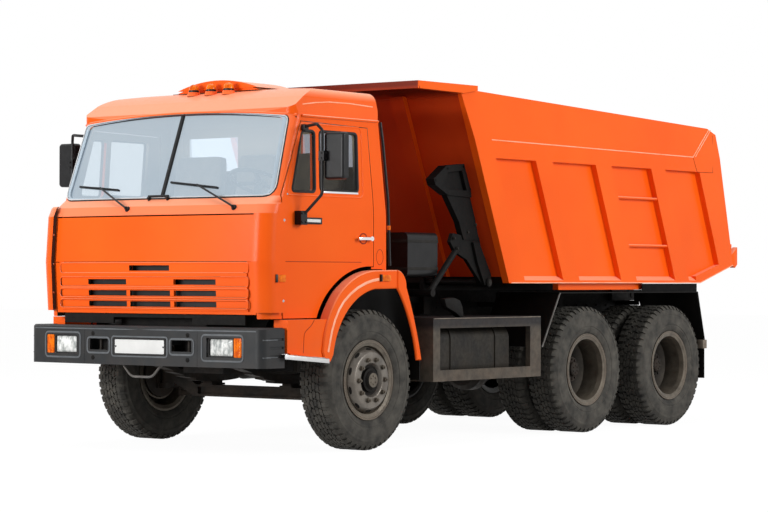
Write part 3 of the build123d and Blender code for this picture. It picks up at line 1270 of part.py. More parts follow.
def main():
    os.makedirs("parts", exist_ok=True)
    sub, cradle = subframe()
    export("frame_rails", frame_rails())
    export("subframe", [sub, cradle])
    export("front_bumper", front_bumper())
    export("lamps", lamps())
    export("front_axle", front_axle())
    export("drive_axles", [drive_axle(AXLE_2), drive_axle(AXLE_3)])
    export("leaf_springs", leaf_springs())
    export("powertrain", list(powertrain()))
    export("radiator", radiator())
    export("tanks", tanks())
    export("side_guards", side_guards())
    export("mudguards", mudguards())
    export("rear_fenders", rear_fenders())
    export("spare_carrier", spare_carrier())
    export("air_cleaner", air_cleaner())

    front, sides, rear, door, door_glass, screen = cab_pieces()
    pane_y = (CAB_REAR - 34 - 24, CAB_REAR - 28 - 24)
    rear_panes = both(block(REAR_WINDOW_X, pane_y, REAR_WINDOW_Z))
    upper, lower = nose_panel()
    dash, wheel = dashboard()
    export("cab_floor", cab_floor())
    export("cab_front", front)
    export("cab_sides", sides)
    export("cab_rear", rear)
    export("cab_roof", cab_roof())
    export("cab_glass", [screen, *rear_panes])
    export("dashboard", dash)
    export("steering_wheel", wheel)
    export("seats", seats())
    export("corner_panels", corner_panels())
    export("front_fenders", front_fenders())
    export("nose_panel", upper)
    export("grille", lower)
    for name, piece in (("door", door), ("door_glass", door_glass), ("mirror", mirror_left())):
        export(f"{name}_left", piece)
        export(f"{name}_right", [mirrored(s) for s in solids_of(piece)])

    export("bed_sides", bed_sides())
    export("bed_front", bed_front())
    export("bed_floor", bed_floor())
    export("bed_underframe", bed_underframe())
    export("tailgate", tailgate())
    for name, piece in zip(("hoist_barrel", "hoist_stage_1", "hoist_stage_2", "hoist_rod"), hoist()):
        export(name, piece)

    for side, label in ((1, "left"), (-1, "right")):
        export(f"knuckle_{label}", knuckle(side))
        rubber, metal = front_wheel(side)
        export(f"tyre_front_{label}", rubber)
        export(f"rim_front_{label}", metal)
        for axle, y in (("mid", AXLE_2), ("rear", AXLE_3)):
            rubber, metal = rear_wheel(side, y)
            export(f"tyres_{axle}_{label}", rubber)
            export(f"rims_{axle}_{label}", metal)
    export("tie_rod", tie_rod())


if __name__ == "__main__":
    main()
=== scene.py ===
import json
from math import ceil, cos, pi, radians, sin

import bmesh
import bpy
from mathutils import Matrix, Vector
from mathutils.bvhtree import BVHTree


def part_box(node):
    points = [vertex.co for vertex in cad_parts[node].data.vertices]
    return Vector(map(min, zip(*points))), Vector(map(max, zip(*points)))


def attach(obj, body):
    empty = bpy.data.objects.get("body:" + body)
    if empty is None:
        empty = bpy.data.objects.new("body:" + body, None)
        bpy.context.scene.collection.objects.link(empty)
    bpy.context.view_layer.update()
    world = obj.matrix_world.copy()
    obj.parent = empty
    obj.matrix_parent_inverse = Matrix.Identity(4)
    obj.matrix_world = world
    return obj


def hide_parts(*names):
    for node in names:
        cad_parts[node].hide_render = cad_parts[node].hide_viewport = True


# Looks of the three-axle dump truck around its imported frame. Shapes are written in millimetres
# with Y = 0 at the front axle, +X the vehicle's left; at() turns them into the frame's metres.

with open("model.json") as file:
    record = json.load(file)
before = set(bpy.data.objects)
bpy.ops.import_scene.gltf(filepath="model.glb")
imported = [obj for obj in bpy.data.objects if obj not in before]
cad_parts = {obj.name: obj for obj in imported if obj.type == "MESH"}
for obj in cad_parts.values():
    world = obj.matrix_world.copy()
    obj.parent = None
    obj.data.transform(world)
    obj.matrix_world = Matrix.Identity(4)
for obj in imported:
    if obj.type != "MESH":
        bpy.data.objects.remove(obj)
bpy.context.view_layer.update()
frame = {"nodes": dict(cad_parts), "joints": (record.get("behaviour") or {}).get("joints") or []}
NODES = frame["nodes"]
JOINT = {j["name"]: j for j in frame["joints"]}
MM = 0.001
FRONT_Y, WHEEL_Z = JOINT["spin_front_left"]["pos_m"][1:]
SIDES = ((1, "left"), (-1, "right"))
PLANES = {"x": lambda a, b, t: (t, a, b), "y": lambda a, b, t: (a, t, b),
          "z": lambda a, b, t: (a, b, t)}


def at(x, y, z):
    return Vector((x * MM, y * MM + FRONT_Y, z * MM))


def back(v):
    """Frame metres to this script's millimetres."""
    return Vector((v.x / MM, (v.y - FRONT_Y) / MM, v.z / MM))


# ---- mesh building


class Solid:
    """Vertices and faces under construction."""

    def __init__(self):
        self.verts, self.faces = [], []

    def add(self, verts, faces):
        start = len(self.verts)
        self.verts += [Vector(v) for v in verts]
        self.faces += [[start + i for i in f] for f in faces]
        return self

    def join(self, *others):
        for other in others:
            self.add(other.verts, other.faces)
        return self

    def moved(self, move):
        return Solid().add([move @ v for v in self.verts], self.faces)

    def mirrored(self):
        return Solid().add([(-v.x, v.y, v.z) for v in self.verts], self.faces)

    def both(self):
        """This solid and its mirror image on the other side of the vehicle."""
        return Solid().join(self, self.mirrored())


def loft(rings, closed=False):
    """Skin between rings of as many points each; an open one is capped."""
    n = len(rings[0])
    verts = [p for ring in rings for p in ring]
    faces = []
    for i in range(len(rings) if closed else len(rings) - 1):
        a, b = i * n, (i + 1) % len(rings) * n
        faces += [[a + k, a + (k + 1) % n, b + (k + 1) % n, b + k] for k in range(n)]
    if not closed:
        faces += [list(range(n))[::-1], [len(verts) - n + k for k in range(n)]]
    return Solid().add(verts, faces)


def merged(solids):
    return Solid().join(*solids)


def prism(outline, span, axis="x"):
    """Outline in the plane across axis, pushed over span."""
    return loft([[PLANES[axis](a, b, t) for a, b in outline] for t in span])


def block(x, y, z):
    return prism([(y[0], z[0]), (y[1], z[0]), (y[1], z[1]), (y[0], z[1])], x)


def turns(count):
    """Angles of so many equal steps round a circle."""
    return [2 * pi * k / count for k in range(count)]


def axes_of(direction):
    """Unit vector along a direction and two across it."""
    d = Vector(direction).normalized()
    side = Vector((0, 0, 1)) if abs(d.z) < 0.9 else Vector((0, 1, 0))
    u = side.cross(d).normalized()
    return d, u, d.cross(u)


def stack(stops, start, axes, steps):
    """Loft of circles at (along, radius) stops from a start."""
    d, u, v = axes
    return loft([[start + d * t + (u * cos(a) + v * sin(a)) * r for a in turns(steps)]
                 for t, r in stops])


def lathe(profile, centre=(0, 0, 0), direction=(1, 0, 0), steps=48):
    """Closed profile of (along, radius) points turned about a line through centre."""
    d, u, v = axes_of(direction)
    c = Vector(centre)
    return loft([[c + d * t + (u * cos(a) + v * sin(a)) * r for t, r in profile]
                 for a in turns(steps)], closed=True)


CORE_R = 0.1               # radius a turned solid starts from, in place of its axis


def turned(profile, centre=(0, 0, 0), direction=(1, 0, 0), steps=48):
    """Solid of revolution under an open profile."""
    first, last = profile[0][0], profile[-1][0]
    return lathe([(first, CORE_R)] + profile + [(last, CORE_R)], centre, direction, steps)


def rod(p, q, r, steps=16):
    """Round bar with small chamfers at its ends."""
    p, q = Vector(p), Vector(q)
    long = (q - p).length
    c = min(r * 0.2, long / 3)
    return stack([(0, r - c), (c, r), (long - c, r), (long, r - c)], p, axes_of(q - p), steps)


def nut(centre, direction, size, height, stud=0.0):
    """Hexagon nut with a washer face and, if asked, the end of its stud."""
    axes, c = axes_of(direction), Vector(centre)
    flat = size * 0.1
    solid = stack([(0, size * 0.68), (flat, size * 0.68)], c, axes, 12)
    solid.join(stack([(flat, size * 0.58), (height * 0.85, size * 0.58), (height, size * 0.46)],
                     c, axes, 6))
    if stud:
        solid.join(stack([(height, size * 0.28), (height + stud, size * 0.26)], c, axes, 10))
    return solid


def nuts(spots, direction, size, height):
    return merged(nut(spot, direction, size, height) for spot in spots)


def rounded(points, radius, closed=False, steps=5):
    """Line of points with its corners turned into short curves."""
    pts = [Vector(p) for p in points]
    path = []
    for i, p in enumerate(pts):
        if not closed and i in (0, len(pts) - 1):
            path.append(p)
            continue
        a, b = pts[i - 1] - p, pts[(i + 1) % len(pts)] - p
        reach = min(radius, a.length * 0.49, b.length * 0.49)
        start, end = p + a.normalized() * reach, p + b.normalized() * reach
        for k in range(steps + 1):
            t = k / steps
            path.append(start * (1 - t) ** 2 + p * 2 * t * (1 - t) + end * t ** 2)
    return path


def parts_of(p, q, step):
    """Number of equal parts, none longer than step, between two points."""
    return max(1, ceil((q - p).length / step))


def fine(points, step, closed=False):
    """The same line with no stretch longer than step."""
    pts = [Vector(p) for p in points]
    out = []
    for p, q in zip(pts, pts[1:] + pts[:1] * closed):
        n = parts_of(p, q, step)
        out += [p.lerp(q, k / n) for k in range(n)]
    return out if closed else out + [pts[-1]]


LINE_STEP = 60             # longest stretch of a line that follows a curved face


def sweep(path, profile, normals=None, closed=False):
    """Profile of (side, out) points carried along path; normals give its outward direction."""
    path = [Vector(p) for p in path]
    rings = []
    up = None
    for i, p in enumerate(path):
        ahead = path[(i + 1) % len(path)] if closed or i < len(path) - 1 else p
        behind = path[i - 1] if closed or i else p
        t = (ahead - behind).normalized()
        if normals:
            up = Vector(normals[i])
        elif up is None:
            up = axes_of(t)[1]
        up = (up - t * up.dot(t)).normalized()
        side = t.cross(up)
        rings.append([p + side * a + up * b for a, b in profile])
    return loft(rings, closed=closed)


def circle(r, steps=10, flat=1.0):
    return [(r * cos(a), r * flat * sin(a)) for a in turns(steps)]


def pipe(points, r, bend=0.0, steps=10):
    return sweep(rounded(points, bend) if bend else points, circle(r, steps))


def rectangle(a, b, c, d, r):
    """Rounded rectangle of 2-D points between (a, c) and (b, d)."""
    corners = [(a, c, 0), (b, c, 0), (b, d, 0), (a, d, 0)]
    return [(p.x, p.y) for p in rounded(corners, r, closed=True)]


def flat_loop(outline, bend=0.0, step=LINE_STEP):
    """Closed fine line round a 2-D outline, whose corners may be rounded."""
    points = [(a, b, 0) for a, b in outline]
    return fine(rounded(points, bend, closed=True) if bend else points, step, closed=True)


def slab(half, low, high):
    """Sweep profile of a flat bar."""
    return [(-half, low), (-half, high), (half, high), (half, low)]


def rail(half, low, shoulder, crest, top):
    """Sweep profile of a bar whose outer face narrows to half a crest."""
    return [(-half, low), (-half, shoulder), (-crest, top), (crest, top), (half, shoulder),
            (half, low)]


def frame_bar(outline, inner, span):
    """Flat frame across Y between two (x, z) outlines of as many points."""
    y0, y1 = span
    return loft([[(o[0], y0, o[1]), (o[0], y1, o[1]), (i[0], y1, i[1]), (i[0], y0, i[1])]
                 for o, i in zip(outline, inner)], closed=True)


# ---- pieces

BEVEL_ANGLE = radians(28)


def add_object(name, data):
    obj = bpy.data.objects.new(name, data)
    bpy.context.scene.collection.objects.link(obj)
    return obj


def piece(name, solid, body, mat, slot, bevel=0.0, smooth=38):
    """Object from a Solid, in place, with softened edges."""
    mesh = bpy.data.meshes.new(name)
    mesh.from_pydata([at(*v) for v in solid.verts], [], solid.faces)
    bm = bmesh.new()
    bm.from_mesh(mesh)
    bmesh.ops.recalc_face_normals(bm, faces=bm.faces)
    if bevel:
        sharp = [e for e in bm.edges
                 if len(e.link_faces) == 2 and e.calc_face_angle(0) > BEVEL_ANGLE]
        bmesh.ops.bevel(bm, geom=sharp, offset=bevel * MM, segments=2, profile=0.6,
                        affect="EDGES", clamp_overlap=True)
    bm.to_mesh(mesh)
    bm.free()
    mesh.polygons.foreach_set("use_smooth", [True] * len(mesh.polygons))
    mesh.set_sharp_from_angle(angle=radians(smooth))
    mesh.materials.append(mat)
    obj = add_object(name, mesh)
    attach(obj, body)
    return obj


def one_each(*rows):
    """Pieces on the left and, mirrored, on the right; {} in a name or body is the side."""
    for side, label in SIDES:
        for name, solid, body, *finish in rows:
            shape = solid if side > 0 else solid.mirrored()
            piece(name.format(label), shape, body.format(label), *finish)


def skin(*names):
    """Ray target made of CAD nodes."""
    verts, polys = [], []
    for name in names:
        mesh = NODES[name].data
        start = len(verts)
        verts += [v.co.copy() for v in mesh.vertices]
        polys += [[start + i for i in p.vertices] for p in mesh.polygons]
    return BVHTree.FromPolygons(verts, polys)


FRONT_SKIN = skin("cab_front", "nose_panel", "grille", "cab_roof", "corner_panels")
SCREEN_SKIN = skin("cab_front", "cab_roof", "cab_glass")
BUMPER_SKIN = skin("front_bumper")
LEFT_SKIN = skin("door_left", "cab_sides", "cab_front", "cab_rear", "cab_roof",
                 "door_glass_left", "corner_panels")
RAY_FROM = 2600            # distance outside the vehicle from which rays start
LEAST_X = 900              # a ray from the left that gets past this has missed the skin


def cast(tree, start, way):
    """Spot and outward normal where a ray meets a skin."""
    way = Vector(way)
    spot, normal, _, _ = tree.ray_cast(at(*start), way)
    if spot is None:
        return None, None
    return back(spot), normal if normal.dot(way) < 0 else -normal


def from_front(x, z, tree=FRONT_SKIN):
    return cast(tree, (x, -RAY_FROM, z), (0, 1, 0))


def from_left(y, z, tree=LEFT_SKIN):
    spot, normal = cast(tree, (RAY_FROM, y, z), (-1, 0, 0))
    return (None, None) if spot is None or spot.x <= LEAST_X else (spot, normal)


def on_screen(x, z):
    return from_front(x, z, SCREEN_SKIN)


def on_bumper(x, z):
    return from_front(x, z, BUMPER_SKIN)


def on_bumper_end(y, z):
    return from_left(y, z, BUMPER_SKIN)


def carried(points, find, lift=0.0):
    """Spots and normals where 2-D points land on a skin, without those that miss it."""
    hits = [hit for hit in (find(a, b) for a, b in points) if hit[0] is not None]
    return [spot + normal * lift for spot, normal in hits], [normal for _, normal in hits]


def line_on(points, find, profile, lift=0.0, closed=False):
    """Profile swept along 2-D points on a skin."""
    spots, normals = carried(points, find, lift)
    return sweep(spots, profile, normals, closed)


# ---- materials


def srgb(r, g, b):
    """Linear colour from 0..255 display values."""
    line, low, power = 12.92, 10, 2.4
    return tuple(c / 255 / line if c <= low else ((c / 255 + 0.055) / 1.055) ** power
                 for c in (r, g, b)) + (1.0,)


def new_node(tree, kind, **values):
    """Node with its own settings and its sockets' constants filled in by name."""
    node = tree.nodes.new(kind)
    for key, value in values.items():
        if hasattr(node, key):
            setattr(node, key, value)
        else:
            node.inputs[key.replace("_", " ")].default_value = value
    return node


class Nodes:
    """Small helper to wire a material's nodes; a value is a constant or another node's output."""

    def __init__(self, name):
        self.mat = bpy.data.materials.new(name)
        self.mat.use_nodes = True
        self.tree = self.mat.node_tree
        self.shader = self.tree.nodes["Principled BSDF"]
        self.out = self.tree.nodes["Material Output"].inputs["Surface"]
        self.coords = self.node("ShaderNodeTexCoord").outputs

    def node(self, kind, **values):
        return new_node(self.tree, kind, **values)

    def feed(self, socket, value):
        if isinstance(value, bpy.types.NodeSocket):
            self.tree.links.new(value, socket)
        else:
            socket.default_value = value

    def noise(self, scale, detail=3.0, rough=0.55, stretch=None):
        node = self.node("ShaderNodeTexNoise", Scale=scale, Detail=detail, Roughness=rough)
        source = self.coords["Object"]
        if stretch:
            mapping = self.node("ShaderNodeMapping", Scale=stretch)
            self.feed(mapping.inputs["Vector"], source)
            source = mapping.outputs["Vector"]
        self.feed(node.inputs["Vector"], source)
        return node.outputs["Fac"]

    def wave(self, **values):
        node = self.node("ShaderNodeTexWave", **values)
        self.feed(node.inputs["Vector"], self.coords["Object"])
        return node.outputs["Fac"]

    def ramp(self, value, low, high, a=0.0, b=1.0):
        node = self.node("ShaderNodeMapRange", From_Min=low, From_Max=high, To_Min=a, To_Max=b)
        self.feed(node.inputs["Value"], value)
        return node.outputs["Result"]

    def math(self, operation, *values):
        node = self.node("ShaderNodeMath", operation=operation)
        for socket, value in zip(node.inputs, values):
            self.feed(socket, value)
        return node.outputs[0]

    def less(self, a, b):
        return self.math("LESS_THAN", a, b)

    def times(self, a, b):
        return self.math("MULTIPLY", a, b)

    def most(self, a, b):
        return self.math("MAXIMUM", a, b)

    def mix(self, factor, a, b):
        node = self.node("ShaderNodeMix", data_type="RGBA")
        for index, value in ((0, factor), (6, a), (7, b)):     # 6 and 7 are its colour sockets
            self.feed(node.inputs[index], value)
        return node.outputs[2]

    def blend(self, *values):
        """Mix of two shaders by a factor, as the material's surface."""
        node = self.node("ShaderNodeMixShader")
        for socket, value in zip(node.inputs, values):
            self.feed(socket, value)
        self.feed(self.out, node.outputs[0])

    def axis(self, index, output="Object"):
        node = self.node("ShaderNodeSeparateXYZ")
        self.feed(node.inputs[0], self.coords[output])
        return node.outputs[index]

    def bump(self, height, strength, distance=0.002):
        node = self.node("ShaderNodeBump", Strength=strength, Distance=distance)
        self.feed(node.inputs["Height"], height)
        self.set(Normal=node.outputs["Normal"])

    def set(self, **values):
        for key, value in values.items():
            self.feed(self.shader.inputs[key.replace("_", " ")], value)

    def uneven(self, scale, low, high, detail=3.0):
        """Roughness that wanders between two values."""
        self.set(Roughness=self.ramp(self.noise(scale, detail), 0.3, 0.7, low, high))


ORANGE = (247, 97, 18)
ORANGE_DEEP = (241, 89, 13)
ROAD_DUST = srgb(128, 106, 88)
TRIM_DARK = srgb(60, 58, 55)
LINING = srgb(186, 168, 142)
# pale colour of the painted highlight on enamel faces that look up
SKY_HIGHLIGHT = srgb(252, 168, 132)
DARK_INSIDE = srgb(24, 22, 21)


def dusted(n, body, low, high, most):
    """Road dust: most of it at the low edge, none above the high one, broken by noise."""
    by_height = n.ramp(n.axis(2), low, high, most, 0.0)
    return n.mix(n.times(by_height, n.ramp(n.noise(7.0, 6.0), 0.35, 0.7)), body, ROAD_DUST)


def topped(n, body, low, high, colour):
    """Another colour above a height, blended in between low and high."""
    return n.mix(n.ramp(n.axis(2), low, high), body, srgb(*colour))


def paint(name, colour=ORANGE, deep=ORANGE_DEEP, inside=None, dark_share=None, lit=None,
          above=None):
    """Truck enamel: gentle mottling, orange peel, a painted highlight on faces that look up and
    some dust low down.
    """
    n = Nodes(name)
    body = n.mix(n.ramp(n.noise(1.3, 2.0), 0.3, 0.7), srgb(*colour), srgb(*deep))
    # painted highlight: the more a face looks up, the paler it is painted
    body = n.mix(n.ramp(n.axis(2, "Normal"), 0.12, 0.85, 0.0, 0.8), body, SKY_HIGHLIGHT)
    body = dusted(n, body, 0.6, 1.25, 0.1)
    if above:
        body = topped(n, body, *above)
    # painted shade: faces that look forward or down keep the darker colour, the others take the lit
    # one
    if lit:
        shaded = n.most(n.less(n.axis(1, "Normal"), -0.3), n.less(n.axis(2, "Normal"), -0.5))
        body = n.mix(shaded, srgb(*lit), body)
    if inside:
        lining = n.mix(n.ramp(n.axis(2), 2.05, 2.3), TRIM_DARK, LINING)
        body = n.mix(inside(n), body, lining)
    if dark_share:
        body = n.mix(dark_share(n), body, DARK_INSIDE)
    n.set(Base_Color=body, Coat_Weight=0.06, Coat_Roughness=0.1, Specular_IOR_Level=0.1)
    n.uneven(30.0, 0.30, 0.40)
    n.bump(n.noise(260.0, 2.0), 0.05, 0.0006)
    return n.mat


CAB_CENTRE = at(0, -400, 1740)
LIP_X = 1166.5             # outer limit of the dark inside of a fender's lip
LIP_ROOT_X = 1104          # everything nearer the middle than this is dark sheet
FLAP_TOP = 655
STEP_Y = -592              # rear face of the step box
SKIRT_X = 1138             # inner face of the dump body's skirts


def cab_inside(n):
    """1 where a cab surface faces the cabin's middle, which is trimmed and not painted."""
    offset = n.node("ShaderNodeVectorMath", operation="SUBTRACT")
    dot = n.node("ShaderNodeVectorMath", operation="DOT_PRODUCT")
    n.feed(offset.inputs[0], n.coords["Object"])
    n.feed(offset.inputs[1], CAB_CENTRE)
    n.feed(dot.inputs[0], offset.outputs[0])
    n.feed(dot.inputs[1], n.coords["Normal"])
    return n.less(dot.outputs["Value"], -0.12)


def arch_inside(n):
    """1 behind the fender lips and on the flaps, but not on the step box ahead of the wheel."""
    x = n.math("ABSOLUTE", n.axis(0))
    y, z = n.axis(1), n.axis(2)
    along = n.times(n.math("SUBTRACT", y, FRONT_Y), n.axis(1, "Normal"))
    up = n.times(n.math("SUBTRACT", z, WHEEL_Z), n.axis(2, "Normal"))
    inward = n.less(n.math("ADD", along, up), 0.05)
    lip = n.times(n.less(x, LIP_X * MM), inward)
    sheet = n.less(x, LIP_ROOT_X * MM)
    behind_step = n.math("GREATER_THAN", y, STEP_Y * MM + FRONT_Y)
    flap = n.times(n.less(z, FLAP_TOP * MM), n.math("GREATER_THAN", y, FRONT_Y))
    return n.most(n.times(n.most(lip, sheet), behind_step), flap)


def beams_inside(n):
    """1 on the long beams and cross-members under the floor, 0 on the skirts."""
    return n.less(n.math("ABSOLUTE", n.axis(0)), SKIRT_X * MM)


def coated(name, colour, other, rough=(0.5, 0.7), dust=0.35, metal=0.0, bump=0.15, scale=9.0,
           span=(0.3, 1.4), gloss=0.2, above=None, bowl=None):
    """Chassis paint, cast iron or moulded plastic with dust in its texture; a bowl, if given, is
    painted shade, darker nearer the vehicle's middle.
    """
    n = Nodes(name)
    body = n.mix(n.ramp(n.noise(scale, 5.0), 0.35, 0.68), srgb(*colour), srgb(*other))
    if above:
        body = topped(n, body, *above)
    body = dusted(n, body, *span, dust)
    # painted shade: darker where the rim lies nearer the vehicle's middle
    if bowl:
        low, high, dark = bowl
        body = n.mix(n.ramp(n.math("ABSOLUTE", n.axis(0)), low, high), srgb(*dark), body)
    n.set(Base_Color=body, Metallic=metal, Specular_IOR_Level=gloss)
    n.uneven(scale * 4, *rough)
    n.bump(n.noise(scale * 22, 3.0), bump, 0.0012)
    return n.mat


def rubber(name, colour, film):
    """Tyre rubber under greyish road film."""
    n = Nodes(name)
    n.set(Base_Color=n.mix(n.ramp(n.noise(11.0, 6.0), 0.3, 0.72), srgb(*colour), srgb(*film)),
          Specular_IOR_Level=0.15)
    n.uneven(60.0, 0.72, 0.9)
    n.bump(n.noise(420.0, 3.0), 0.2, 0.0012)
    return n.mat


def glass(name, tint, film, share, glow):
    """Window pane: part lets light through, the rest is a film that glows in its own colour, a
    painted reflection of the pale sky.
    """
    n = Nodes(name)
    film = srgb(*film)
    n.set(Base_Color=tuple(v * 0.3 for v in film[:3]) + (1.0,), Roughness=0.03,
          Specular_IOR_Level=0.4, Coat_Weight=0.3, Coat_Roughness=0.02, Emission_Color=film,
          Emission_Strength=glow)
    clear = n.node("ShaderNodeBsdfTransparent", Color=srgb(*tint))
    n.blend(share, clear.outputs[0], n.shader.outputs[0])
    return n.mat


def lens(name, colour, deep, glow=0.05, flutes=0.0, coat=0.5):
    """Lamp lens of moulded plastic or glass, mottled by the prisms behind its face."""
    n = Nodes(name)
    patches = n.ramp(n.noise(26.0, 4.0, 0.6, (1.6, 1.0, 0.7)), 0.42, 0.62)
    n.set(Base_Color=n.mix(patches, srgb(*colour), srgb(*deep)), Roughness=0.16,
          Coat_Weight=coat, Coat_Roughness=0.04, Specular_IOR_Level=0.6 * coat,
          Emission_Color=srgb(*colour), Emission_Strength=glow)
    if flutes:
        n.bump(n.wave(bands_direction="X", Scale=flutes, Distortion=0.4), 0.5, 0.003)
    return n.mat


def bright(name, colour, rough):
    """Polished or brushed metal."""
    n = Nodes(name)
    n.set(Base_Color=srgb(*colour), Metallic=1.0)
    n.uneven(40.0, rough, rough + 0.14, 4.0)
    n.bump(n.noise(300.0), 0.05, 0.0008)
    return n.mat


def fabric(name, colour, other):
    """Woven seat cover."""
    n = Nodes(name)
    n.set(Base_Color=n.mix(n.ramp(n.noise(14.0, 4.0), 0.35, 0.7), srgb(*colour), srgb(*other)),
          Roughness=0.9, Sheen_Weight=0.3)
    n.bump(n.wave(Scale=420.0, Distortion=1.5), 0.35, 0.001)
    return n.mat


CAB_ORANGE = paint("cab enamel", inside=cab_inside)
BODY_ORANGE = paint("body enamel")
BEAM_ORANGE = paint("beam enamel", dark_share=beams_inside)
ARCH_ORANGE = paint("arch enamel", dark_share=arch_inside)
# front wall of the dump body: darker orange as painted shade, plain orange where faces look neither
# forward nor down, and a still darker band of painted shade on the visor lip at the top
WALL_SHADE_ORANGE = paint("shaded enamel", (214, 74, 25), (190, 60, 19), lit=ORANGE,
                    above=(2.68, 2.74, (118, 35, 11)))
SHADE = coated("seam shade", (150, 44, 10), (120, 34, 8), dust=0.1)
SHADE_DARK = coated("deep seam shade", (74, 20, 8), (58, 16, 8), dust=0.0)
# pale peach of the painted highlights along creases, rails and lips
HIGHLIGHT_ORANGE = coated("painted highlight", (255, 190, 160), (252, 160, 118), (0.3, 0.5), 0.0)
CHASSIS = coated("chassis black", (8, 8, 8), (16, 15, 14), dust=0.05, gloss=0.1)
SHADE_BLACK = coated("shaded black", (4, 4, 4), (8, 8, 8), dust=0.0, gloss=0.05)
STEEL_GREY = coated("worn steel", (112, 110, 108), (80, 77, 74), dust=0.2)
GUARD = coated("guard grey", (84, 77, 68), (56, 52, 47), dust=0.2, above=(0.86, 0.92, (26, 26, 28)))
# pale grey: painted highlight on the rims' flange edges, wear on the guards and the rear bar's ends
GREY_WEAR_AND_HIGHLIGHT = coated("grey wear and highlight", (128, 118, 106), (96, 88, 80), dust=0.3)
BUMPER = coated("bumper plastic", (30, 32, 34), (36, 38, 40), (0.40, 0.52), 0.08, bump=0.08)
# light grey of the painted highlights on the bumper's borders and edges
BUMPER_HIGHLIGHT = coated("bumper highlight", (98, 101, 104), (80, 83, 86), (0.35, 0.5), 0.0, bump=0.05)
BLACK = coated("black plastic", (17, 17, 18), (26, 26, 27), (0.3, 0.45), 0.05, bump=0.06)
SEAL = coated("seal rubber", (20, 20, 21), (30, 30, 31), (0.45, 0.6), 0.0, bump=0.05)
FILLER = coated("seal filler", (205, 208, 210), (190, 193, 195), (0.25, 0.35), 0.0, bump=0.0)
# pale blue-grey of the windscreen's margin: painted sky reflection like the glass beside it
SCREEN_EDGE_REFLECTION = coated("screen edge reflection", (170, 184, 195), (160, 175, 187), (0.2, 0.3), 0.0, bump=0.0)
RUBBER = rubber("tyre rubber", (50, 49, 47), (88, 85, 79))
RIM_LOOK = dict(colour=(104, 97, 86), other=(74, 69, 62), rough=(0.34, 0.5), dust=0.2, scale=14.0,
                span=(0.0, 1.2), metal=0.25)
RIM = coated("rim paint", **RIM_LOOK)
TWIN_RIM = coated("twin rim paint", **RIM_LOOK, bowl=(0.96, 1.12, (30, 28, 26)))
RIM_BARE = coated("bare rim steel", (112, 106, 98), (78, 73, 67), (0.3, 0.42), 0.1, 0.5, gloss=0.5)
IRON = coated("axle iron", (22, 21, 19), (34, 31, 28), (0.6, 0.85), 0.14, bump=0.3)
ENGINE = coated("engine iron", (24, 24, 24), (38, 37, 36), (0.5, 0.8), 0.15, bump=0.3)
TANK = coated("tank paint", (33, 30, 24), (14, 13, 11), dust=0.06)
TRIM = coated("dash plastic", (70, 70, 72), (84, 84, 86), (0.6, 0.75), 0.0, bump=0.1)
PLATE = coated("plate", (222, 222, 220), (214, 214, 212), (0.35, 0.45), 0.05, bump=0.02)
RAM = bright("ram steel", (190, 190, 192), 0.15)
CHROME = bright("chrome", (225, 226, 228), 0.06)
ALUMINIUM = bright("aluminium", (196, 196, 196), 0.3)
SCREEN_GLASS = glass("screen glass", (246, 247, 248), (196, 211, 223), 0.28, 1.3)
SIDE_GLASS = glass("side glass", (238, 240, 240), (98, 92, 84), 0.14, 0.22)
CLEAR_LENS = lens("clear lens", (238, 239, 236), (158, 162, 160), 0.0, 34.0)
AMBER_LENS = lens("amber lens", (236, 118, 10), (196, 76, 4), coat=0.12)
RED_LENS = lens("red lens", (170, 18, 14), (96, 10, 8))
SEAT = fabric("seat fabric", (120, 108, 92), (92, 84, 74))

NODE_FINISH = {
    CAB_ORANGE: ["cab_front", "cab_sides", "cab_rear", "cab_roof", "door_left", "door_right",
                 "corner_panels", "nose_panel", "grille"],
    ARCH_ORANGE: ["front_fenders", "rear_fenders"],
    BODY_ORANGE: ["bed_sides", "bed_floor", "tailgate"],
    BEAM_ORANGE: ["bed_underframe"],
    WALL_SHADE_ORANGE: ["bed_front"],
    CHASSIS: ["frame_rails", "subframe", "mudguards", "spare_carrier", "cab_floor",
              "hoist_barrel"],
    GUARD: ["side_guards"],
    BUMPER: ["front_bumper"],
    BLACK: ["air_cleaner", "mirror_left", "mirror_right", "steering_wheel"],
    IRON: ["front_axle", "drive_axles", "leaf_springs", "knuckle_left", "knuckle_right",
           "tie_rod"],
    ENGINE: ["powertrain", "radiator"],
    TANK: ["tanks"],
    TRIM: ["dashboard"],
    RAM: ["hoist_stage_1", "hoist_stage_2", "hoist_rod"],
    SCREEN_GLASS: ["cab_glass"],
    SIDE_GLASS: ["door_glass_left", "door_glass_right"],
    RIM: [n for n in NODES if n.startswith("rim_")],
    TWIN_RIM: [n for n in NODES if n.startswith("rims_")],
}


def finish_nodes():
    for mat, names in NODE_FINISH.items():
        for name in names:
            obj = NODES[name]
            if not obj.material_slots:
                obj.data.materials.append(mat)
            for slot in obj.material_slots:
                slot.link = "OBJECT"
                slot.material = mat


# ---- wheels

